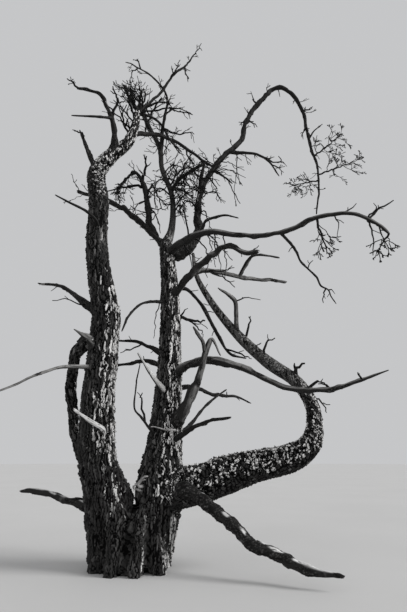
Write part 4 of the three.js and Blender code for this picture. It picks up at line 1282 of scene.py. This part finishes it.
def grow_twigs(twig, order, orders, seed, space, found):
    """One twig and, from its own seed, the twigs that branch off it down to the last order.
    A twig that would leave its space or touch a limb is tried shorter, and then skipped."""
    length = twig["length"]
    for _ in range(TRIES):
        line = twig_line(twig, length)
        points = np.array([line.point(row) for row in (0.5, 1, 1.5, 2)])
        if order == 0 or (space.holds(points) and not space.touches(points, twig["thickness"])):
            break
        length *= SHORTER
    else:
        return
    found.append((line, order, length, seed))
    branch_off(line, twig["heading"], length, order, orders, seed, space, found)


def branch_off(line, heading, length, order, orders, seed, space, found):
    """The twigs that leave one line. The orders tell how many, how long, how thick and how spread."""
    if order == len(orders):
        return
    count, longer, thinner, spread, droop = orders[order]
    draw = random_from(seed)
    for i in range(count):
        share = mix(FIRST_SHARE, LAST_SHARE, (i + draw() * 0.8) / count)
        around = math.radians(i * TURN + draw() * 60)
        tilt = math.radians(spread * (0.7 + draw() * 0.6))
        full = float(space.half.mean()) if order == 0 else length
        child_length = full * longer * (1.15 - 0.5 * share) * (0.8 + draw() * 0.4)
        sway = any_way(draw)
        child_seed = math.floor(draw() * SEED_COUNT)
        side = unit(np.cross((0.31, -0.52, 0.8), heading))
        outward = turned(side, heading, around)
        child_heading = heading * math.cos(tilt) + outward * math.sin(tilt)
        grow_twigs({
            "start": line.point(line.last * share),
            "heading": unit(child_heading - np.array([0, 0, droop])),
            "length": child_length,
            "sway": sway * TWIG_BEND * 4,
            "thickness": max(line.thickness(line.last * share) * thinner, LEAST_THICK * MM),
        }, order + 1, orders, child_seed, space, found)


def twig_strand(line, order, length, seed, least, material):
    """A twig's points with angular kinks, and radii that thin out order by order."""
    parts = max(2, min(MOST_PARTS, round(length / TWIG_PART)))
    draw = random_from(seed + TWIG_SEED)
    points, radii = [], []
    for i in range(parts + 1):
        row = line.last * i / parts
        point = line.point(row)
        if i > 0:
            point = point + any_way(draw) * min(TWIG_KINK, length * 0.15)
        points.append(point)
        narrow = 1 - 0.4 * (i / parts) ** 2
        radii.append(max(line.thickness(row) * TWIG_THINNING[order] * narrow, least) / 2)
    return Strand(points, radii, material)


def spray_material(seed):
    """Deals a plain colour out to a spray: mostly dark, some grey, a few pale."""
    share = random_from(seed)()
    if share < DARK_SHARE:
        return 0
    return 1 if share < GREY_SHARE else PALE_TWIGS


def make_twigs(name, strands, sides, nodes=()):
    """One piece of many twigs."""
    mesh = swept_mesh(name, strands, sides)
    close_ends(mesh)
    finish_piece(mesh, TWIG_MATERIALS, nodes)


def make_mass(name, samples, twigs):
    """The twigs of one mass, grown in its space from a limb's tip or side."""
    carrier_name, habit, middle, half, seed, place = MASSES[name]
    carrier = limbs[carrier_name].line
    space = Space(middle, half, samples)
    start = carrier.point(carrier.last)
    thickness = carrier.rows[-1, 3] * 0.9
    if place:
        start = carrier.point(carrier.nearest(np.array(place) * MM))
        thickness = MASS_STEM_THICK * MM
    way = space.middle - start
    found = []
    grow_twigs({
        "start": start, "heading": unit(way), "length": float(np.linalg.norm(way)) * MASS_STEM_REACH,
        "sway": np.zeros(3), "thickness": thickness,
    }, 0, HABITS[habit] + FINE_ORDERS[habit], seed, space, found)
    make_twigs(name + "_fine", strands_of(found, twigs), twigs.sides, [name])


def strands_of(found, twigs):
    """The tubes of grown twigs, each in the colour that is dealt out to its spray."""
    return [
        twig_strand(line, order, length, own, twigs.least, spray_material(own >> 3))
        for line, order, length, own in found]


def set_shoots(shoots, first_seed, space):
    """Shoots along their listed places, with the side twigs that the rule gives them."""
    found = []
    for seed, (carrier, thickness, spots) in enumerate(shoots, first_seed):
        rows = np.array([(*spot, 0) for spot in spots], float) * MM
        rows[0, :3] = limbs[carrier].line.point(limbs[carrier].line.nearest(rows[0, :3]))
        rows[:, 3] = np.linspace(1.1, 0.65, len(rows)) * thickness * SHOOT_THICKER * MM
        line = Line(rows)
        length = float(np.linalg.norm(np.diff(rows[:, :3], axis=0), axis=1).sum())
        found.append((line, 0, length, seed))
        heading = unit(rows[-1, :3] - rows[0, :3])
        orders = CROWN_SHOOT if rows[0, 2] > CROWN_FOOT * MM else LOW_SHOOT
        branch_off(line, heading, length, 1, [None, *orders], seed, space, found)
    return found


def deal_spurs(limb, spacing, seed, space, found):
    """Short side shoots, dealt out by the rule wherever a limb is thin enough, longer in the crown."""
    draw = random_from(seed)
    rows, lengths = limb.line.along(0.02)
    at = 0.15 + spacing * draw()
    while at < lengths[-1]:
        row = float(np.interp(at, lengths, rows))
        place = limb.line.point(row)
        along = unit(limb.line.point(min(row + 0.1, limb.line.last)) - limb.line.point(row - 0.1))
        side = turned(unit(np.cross(along, (0.4, 0.3, 0.9))), along, draw() * math.tau)
        heading = unit(along * mix(0.2, 0.9, draw()) + side)
        high = ease((place[2] - BUSHY_FROM) / BUSHY_OVER)
        bushy = BUSHY[limb.name]
        length = (mix(0.035, 0.07, high) + mix(0.06, 0.16, high) * draw() ** 2) * mix(1.0, bushy, high)
        thickness = min(limb.radius(row), mix(0.011, 0.02, draw()))
        own = math.floor(draw() * SEED_COUNT)
        if limb.radius(row) < SPUR_CARRIER * MM:
            orders = CROWN_SPUR if place[2] > CROWN_FOOT * MM else LOW_SPUR
            grow_twigs({
                "start": place + heading * limb.radius(row) * 0.5, "heading": heading,
                "length": length + limb.radius(row), "sway": side * 0.2, "thickness": thickness,
            }, 1, [None, *orders], own, space, found)
        at += spacing * mix(1.6, 1.0 / bushy, high) * (0.4 + 1.2 * draw())


def near_box(line):
    """Whether a twig stays within the solids' box or just past it."""
    low = np.array(CAD_BOX[0]) - SHOOTS_PAST_BOX * MM
    high = np.array(CAD_BOX[1]) + SHOOTS_PAST_BOX * MM
    points = np.array([line.point(row) for row in (0, line.last / 2, line.last)])
    return bool(np.all(points > low) and np.all(points < high))


def make_shoots(twigs):
    """All shoots and spurs, in one piece for the crown and one for the lower boughs."""
    everywhere = Space((0, 0, 0), (50000, 50000, 50000))
    found = set_shoots(SHOOTS, SHOOT_SEED, everywhere)
    pale = set_shoots(SPLINTERS, SPLINTER_SEED, everywhere)
    for seed, (name, limb) in enumerate(limbs.items(), SPUR_SEED):
        if name in BUSHY:
            deal_spurs(limb, twigs.spur_spacing, seed, everywhere, found)
    found = [one for one in found if near_box(one[0])]
    upper = [one for one in found if one[0].points[0, 2] > CROWN_FOOT * MM]
    lower = [one for one in found if one[0].points[0, 2] <= CROWN_FOOT * MM]
    splinters = [twig_strand(*one, twigs.least, PALE_TWIGS) for one in pale]
    make_twigs("upper_shoots", strands_of(upper, twigs), twigs.sides)
    make_twigs("lower_shoots", strands_of(lower, twigs) + splinters, twigs.sides)


def make_masses(twigs):
    """All masses of twigs, each one piece."""
    samples = limb_samples()
    for name in MASSES:
        make_mass(name, samples, twigs)


# Materials

def put(tree, kind, inputs=None, **options):
    """Adds a node: options are its own values, and inputs are numbers or sockets to join."""
    made = tree.nodes.new(kind)
    for key, value in options.items():
        setattr(made, key, value)
    for key, value in (inputs or {}).items():
        if isinstance(value, bpy.types.NodeSocket):
            tree.links.new(value, made.inputs[key])
        else:
            made.inputs[key].default_value = value
    return made


def colour_mix(tree, share, first, second):
    """Mixes two colours, given as sockets or as plain colours."""
    first, second = (
        colour if isinstance(colour, bpy.types.NodeSocket) else (*colour, 1.0)
        for colour in (first, second))
    return put(tree, "ShaderNodeMix", {0: share, 6: first, 7: second}, data_type="RGBA").outputs[2]


def ramp(tree, value, low, high, to_low=0.0, to_high=1.0):
    """Spreads a value between two limits to another pair of limits."""
    return put(tree, "ShaderNodeMapRange", {
        "Value": value, "From Min": low, "From Max": high, "To Min": to_low, "To Max": to_high,
    }).outputs["Result"]


def reckon(tree, operation, first, second):
    return put(tree, "ShaderNodeMath", {0: first, 1: second}, operation=operation).outputs["Value"]


def times(tree, first, second):
    return reckon(tree, "MULTIPLY", first, second)


def plus(tree, first, second):
    return reckon(tree, "ADD", first, second)


def noise_of(tree, place, scale, detail, roughness=0.5):
    return put(tree, "ShaderNodeTexNoise", {
        "Vector": place, "Scale": scale, "Detail": detail, "Roughness": roughness}).outputs["Fac"]


def drawn_out(tree, place, stretch):
    """Places for a pattern that is drawn out along the limb."""
    shares = put(tree, "ShaderNodeCombineXYZ", {"X": 1.0, "Y": 1.0, "Z": stretch}).outputs[0]
    return put(tree, "ShaderNodeVectorMath", {0: place, 1: shares}, operation="MULTIPLY").outputs[0]


def new_group(name, inputs, outputs):
    """A shader node group with named inputs and outputs."""
    group = bpy.data.node_groups.new(name, "ShaderNodeTree")
    for label, kind, value in inputs:
        socket = group.interface.new_socket(label, in_out="INPUT", socket_type=kind)
        if value is not None:
            socket.default_value = value
    for label, kind in outputs:
        group.interface.new_socket(label, in_out="OUTPUT", socket_type=kind)
    start = group.nodes.new("NodeGroupInput")
    end = group.nodes.new("NodeGroupOutput")
    return group, start, end


def grain_group():
    """Fine streaks that follow the wood, with the height that goes with them."""
    group, start, end = new_group("wood grain", [
        ("Place", "NodeSocketVector", None),
        ("Scale", "NodeSocketFloat", 90.0),
        ("Stretch", "NodeSocketFloat", 0.09),
    ], [("Streaks", "NodeSocketFloat"), ("Height", "NodeSocketFloat")])
    place = drawn_out(group, start.outputs["Place"], start.outputs["Stretch"])
    fine = noise_of(group, place, start.outputs["Scale"], 5.0, 0.6)
    wide = noise_of(group, place, 22.0, 3.0)
    height = plus(group, times(group, fine, 0.65), times(group, wide, 0.35))
    group.links.new(ramp(group, height, 0.34, 0.66), end.inputs["Streaks"])
    group.links.new(height, end.inputs["Height"])


def weather_group():
    """Large stains and small bright flecks, as rain and sun leave them."""
    group, start, end = new_group("weathering", [
        ("Place", "NodeSocketVector", None),
        ("Stain Scale", "NodeSocketFloat", 3.0),
        ("Fleck Scale", "NodeSocketFloat", 60.0),
        ("Fleck Share", "NodeSocketFloat", 0.6),
        ("Fleck Stretch", "NodeSocketFloat", 1.0),
    ], [("Stain", "NodeSocketFloat"), ("Flecks", "NodeSocketFloat")])
    stain = noise_of(group, start.outputs["Place"], start.outputs["Stain Scale"], 4.0)
    place = drawn_out(group, start.outputs["Place"], start.outputs["Fleck Stretch"])
    flecks = noise_of(group, place, start.outputs["Fleck Scale"], 4.0, 0.65)
    over = reckon(group, "SUBTRACT", flecks, start.outputs["Fleck Share"])
    group.links.new(ramp(group, stain, 0.35, 0.65), end.inputs["Stain"])
    group.links.new(ramp(group, over, 0.0, 0.08), end.inputs["Flecks"])


def new_material(name, roughness):
    """A dull material: its node tree and its shader."""
    material = bpy.data.materials.new(name)
    material.use_nodes = True
    shader = material.node_tree.nodes["Principled BSDF"]
    shader.inputs["Roughness"].default_value = roughness
    shader.inputs["Specular IOR Level"].default_value = 0.08
    return material.node_tree, shader


def kept(tree, name, output="Fac"):
    """Reads a value that the mesh keeps for each vertex."""
    return put(tree, "ShaderNodeAttribute", attribute_name=name, attribute_type="GEOMETRY").outputs[output]


def use_group(tree, name, inputs):
    """Adds a shared node group, and returns its outputs."""
    return put(tree, "ShaderNodeGroup", inputs, node_tree=bpy.data.node_groups[name]).outputs


def shades(colour, *factors):
    """One darker or lighter shade of a colour for each factor."""
    return [[min(1.0, part * factor) for part in colour] for factor in factors]


def shaded(tree, share, colour, low, high):
    """A colour that runs from a darker to a lighter shade of itself."""
    return colour_mix(tree, share, *shades(colour, low, high))


def dress(tree, shader, colour, height, strength, distance):
    """Gives a shader its colour and its bump."""
    tree.links.new(colour, shader.inputs["Base Color"])
    bump = put(tree, "ShaderNodeBump", {"Height": height, "Strength": strength, "Distance": distance})
    tree.links.new(bump.outputs["Normal"], shader.inputs["Normal"])


def bark_material(bark, boughs):
    """Fissured bark: dark furrows, partly painted shade; grained plates with flakes that are bright in
    painted light; and bare wood where it is worn, grey on the leaning stem's rise and elsewhere darker with
    painted shade.
    """
    tree, shader = new_material("fissured_bark", 0.92)
    relief = kept(tree, "relief")
    tone = kept(tree, "tone")
    place = kept(tree, "place", "Vector")
    grain = use_group(tree, "wood grain", {"Place": place, "Scale": 95.0, "Stretch": 0.16})
    streaks = grain["Streaks"]
    weather = use_group(tree, "weathering", {
        "Place": place, "Stain Scale": 2.2, "Fleck Scale": 95.0, "Fleck Share": 0.385,
        "Fleck Stretch": 0.25})
    plate = shaded(tree, streaks, bark.plate_colour, 0.08, 1.9)
    darker = shades(bark.plate_colour, 0.08)[0]
    # A low tone darkens a plate: its own tone, and the painted shade at the foot.
    toned = colour_mix(tree, ramp(tree, tone, 0.1, 0.8, 0.75, 0.0), plate, darker)
    flake = shaded(tree, streaks, bark.flake_colour, 0.62, 1.0)
    # Flakes show on raised plates where their tone and the painted light are high, so they are bright on the
    # side that faces the key light.
    chosen = plus(tree, times(tree, tone, 0.55), times(tree, kept(tree, "bleach"), 0.9))
    flakes = times(tree, ramp(tree, relief, 0.35, 0.65), ramp(tree, chosen, 0.56, 0.8))
    flaked = colour_mix(tree, times(tree, flakes, weather["Flecks"]), toned, flake)
    # The bare wood is a darker copy of the grey wood, painted shade, except on the leaning stem's worn rise.
    crown = shaded(tree, streaks, boughs.shaded_crown_colour, 0.4, 1.8)
    grey = shaded(tree, streaks, boughs.grey_colour, 0.06, 0.72)
    wood = colour_mix(tree, kept(tree, "worn"), crown, grey)
    covered = colour_mix(tree, kept(tree, "bare"), flaked, wood)
    # The furrows are near-black: partly their own darker bark, partly painted shade.
    colour = colour_mix(tree, ramp(tree, relief, 0.18, 0.46), bark.furrow_colour, covered)
    height = plus(tree, grain["Height"], times(tree, weather["Flecks"], 0.3))
    dress(tree, shader, colour, height, 0.9, 0.01)


def wood_material(name, colour, dark, low_side, streak):
    """Bare wood: streaks along the grain, dark cracks that are partly painted shade, left bark, and painted
    shade in a colour of its own on the side away from the key light.
    """
    tree, shader = new_material(name, 0.85)
    place = kept(tree, "place", "Vector")
    grain = use_group(tree, "wood grain", {"Place": place, "Scale": 60.0, "Stretch": 0.07})
    weather = use_group(tree, "weathering", {
        "Place": place, "Stain Scale": 9.0, "Fleck Scale": 70.0, "Fleck Share": 0.52})
    wood = shaded(tree, grain["Streaks"], colour, streak, 1.75)
    soft = shades(colour, streak)[0]
    stained = colour_mix(tree, times(tree, weather["Stain"], 0.6), wood, soft)
    # Painted shade: the side away from the key light takes the darker colour, its edge moved by the stains.
    edge = plus(tree, kept(tree, "bleach"), times(tree, weather["Stain"], 0.25))
    sided = colour_mix(tree, ramp(tree, edge, 0.2, 0.75), low_side, stained)
    bark = shaded(tree, weather["Flecks"], dark, 2.0, 11.0)
    mixed = colour_mix(tree, kept(tree, "bare"), bark, sided)
    # Cracks and grooves are near-black: partly their own dark, partly painted shade.
    cracked = colour_mix(tree, ramp(tree, kept(tree, "relief"), 0.05, 0.6), dark, mixed)
    dress(tree, shader, cracked, grain["Height"], 0.7, 0.005)


def twig_material(name, colour):
    """Plain twigs with stains and small bright flecks."""
    tree, shader = new_material(name, 0.85)
    place = put(tree, "ShaderNodeTexCoord").outputs["Object"]
    weather = use_group(tree, "weathering", {
        "Place": place, "Stain Scale": 12.0, "Fleck Scale": 150.0, "Fleck Share": 0.55})
    stained = shaded(tree, weather["Stain"], colour, 0.75, 1.25)
    flecked = colour_mix(tree, times(tree, weather["Flecks"], 0.5), stained, shades(colour, 2.2)[0])
    tree.links.new(flecked, shader.inputs["Base Color"])


def floor_material(colour):
    """A pale floor with faint wide stains."""
    tree, shader = new_material("pale_floor", 0.9)
    place = put(tree, "ShaderNodeTexCoord").outputs["Object"]
    weather = use_group(tree, "weathering", {"Place": place, "Stain Scale": 0.6, "Fleck Share": 1.0})
    tree.links.new(shaded(tree, weather["Stain"], colour, 0.97, 1.0), shader.inputs["Base Color"])


# Stage

def add_light(name, place, strength, softness):
    """A soft sun that shines from a place on to the tree."""
    light = bpy.data.lights.new(name, "SUN")
    light.energy = strength
    light.angle = math.radians(softness)
    lamp = bpy.data.objects.new(name, light)
    lamp.location = place
    lamp.rotation_euler = (Vector(LIT_PLACE) - Vector(place)).to_track_quat("-Z", "Y").to_euler()
    bpy.context.scene.collection.objects.link(lamp)


def make_stage(stage):
    """The floor, the backdrop, the lights, and the camera where the photograph was taken from."""
    floor_material(stage.floor_colour)
    mesh = bpy.data.meshes.new("floor")
    with reshaped(mesh) as shape:
        bmesh.ops.create_circle(shape, cap_ends=True, radius=FLOOR_RADIUS, segments=96)
    mesh.materials.append(bpy.data.materials["pale_floor"])
    floor = bpy.data.objects.new("floor", mesh)
    bpy.context.scene.collection.objects.link(floor)
    world = bpy.data.worlds.new("backdrop")
    world.use_nodes = True
    world.node_tree.nodes["Background"].inputs["Color"].default_value = (*stage.sky_colour, 1.0)
    bpy.context.scene.world = world
    add_light("key_light", KEY_PLACE, stage.key_strength, KEY_SOFTNESS)
    add_light("fill_light", FILL_PLACE, stage.fill_strength, FILL_SOFTNESS)
    lens = bpy.data.cameras.new("camera")
    lens.lens = stage.lens
    lens.sensor_width = 36.0
    lens.sensor_fit = "AUTO"
    camera = bpy.data.objects.new("camera", lens)
    camera.location = stage.eye
    camera.rotation_euler = (math.pi / 2 + stage.pitch, 0.0, stage.yaw)
    bpy.context.scene.collection.objects.link(camera)
    bpy.context.scene.camera = camera
    bpy.context.scene.view_settings.view_transform = "Standard"


# Operators

class DEADPINE_OT_finishes(bpy.types.Operator):
    """Makes the materials of the bark, the wood and the twigs"""

    bl_idname = "deadpine.finishes"
    bl_label = "Finishes"

    def execute(self, context):
        bark, boughs, twigs = settings().bark, settings().boughs, settings().twigs
        grain_group()
        weather_group()
        bark_material(bark, boughs)
        # The third number sets the painted shade on a bough's side away from the key light, as a multiple of
        # the cracks' colour. The crown's wood is a darker copy of the grey wood, painted shade too.
        for name, colour, low_side, streak in (
                ("weathered_wood", boughs.grey_colour, 2.8, 0.2),
                ("shaded_crown_wood", boughs.shaded_crown_colour, 2.0, 0.2),
                ("bleached_wood", boughs.pale_colour, 3.0, 0.5)):
            dark = boughs.dark_colour
            wood_material(name, colour, dark, shades(dark, low_side)[0], streak)
        for name, colour in zip(TWIG_MATERIALS, (twigs.dark_colour, twigs.grey_colour, twigs.pale_colour)):
            twig_material(name, colour)
        return {"FINISHED"}


class DEADPINE_OT_stems(bpy.types.Operator):
    """Makes the base and the three stems with their fissured bark"""

    bl_idname = "deadpine.stems"
    bl_label = "Stems"

    def execute(self, context):
        make_stems(settings().bark)
        return {"FINISHED"}


class DEADPINE_OT_boughs(bpy.types.Operator):
    """Makes the boughs and snags of bare wood"""

    bl_idname = "deadpine.boughs"
    bl_label = "Boughs"

    def execute(self, context):
        make_boughs(settings().boughs)
        return {"FINISHED"}


class DEADPINE_OT_masses(bpy.types.Operator):
    """Grows the crown's twigs by the seeded rule"""

    bl_idname = "deadpine.masses"
    bl_label = "Twigs"

    def execute(self, context):
        make_masses(settings().twigs)
        return {"FINISHED"}


class DEADPINE_OT_shoots(bpy.types.Operator):
    """Adds the single shoots and the short spurs of the boughs"""

    bl_idname = "deadpine.shoots"
    bl_label = "Shoots"

    def execute(self, context):
        make_shoots(settings().twigs)
        return {"FINISHED"}


class DEADPINE_OT_stage(bpy.types.Operator):
    """Sets the floor, the lights and the camera"""

    bl_idname = "deadpine.stage"
    bl_label = "Stage"

    def execute(self, context):
        make_stage(settings().stage)
        return {"FINISHED"}


class DEADPINE_PT_panel(bpy.types.Panel):
    """Lists the steps that make the dead pine"""

    bl_idname = "DEADPINE_PT_panel"
    bl_label = "Dead Pine"
    bl_space_type = "VIEW_3D"
    bl_region_type = "UI"
    bl_category = "Dead Pine"

    def draw(self, context):
        tree = context.scene.dead_pine
        for group in (tree.bark, tree.boughs, tree.twigs, tree.stage):
            box = self.layout.box()
            for name in group.__annotations__:
                box.prop(group, name)
        for operator in OPERATORS:
            self.layout.operator(operator.bl_idname)


OPERATORS = (
    DEADPINE_OT_finishes,
    DEADPINE_OT_stems,
    DEADPINE_OT_boughs,
    DEADPINE_OT_masses,
    DEADPINE_OT_shoots,
    DEADPINE_OT_stage,
)
CLASSES = (
    BarkSettings, BoughSettings, TwigSettings, StageSettings, TreeSettings, *OPERATORS, DEADPINE_PT_panel)


def register():
    for cls in CLASSES:
        bpy.utils.register_class(cls)
    bpy.types.Scene.dead_pine = PointerProperty(type=TreeSettings)


def unregister():
    del bpy.types.Scene.dead_pine
    for cls in reversed(CLASSES):
        bpy.utils.unregister_class(cls)


def main():
    register()
    bpy.ops.deadpine.finishes()
    bpy.ops.deadpine.stems()
    bpy.ops.deadpine.boughs()
    bpy.ops.deadpine.masses()
    bpy.ops.deadpine.shoots()
    bpy.ops.deadpine.stage()


if __name__ == "__main__":
    main()
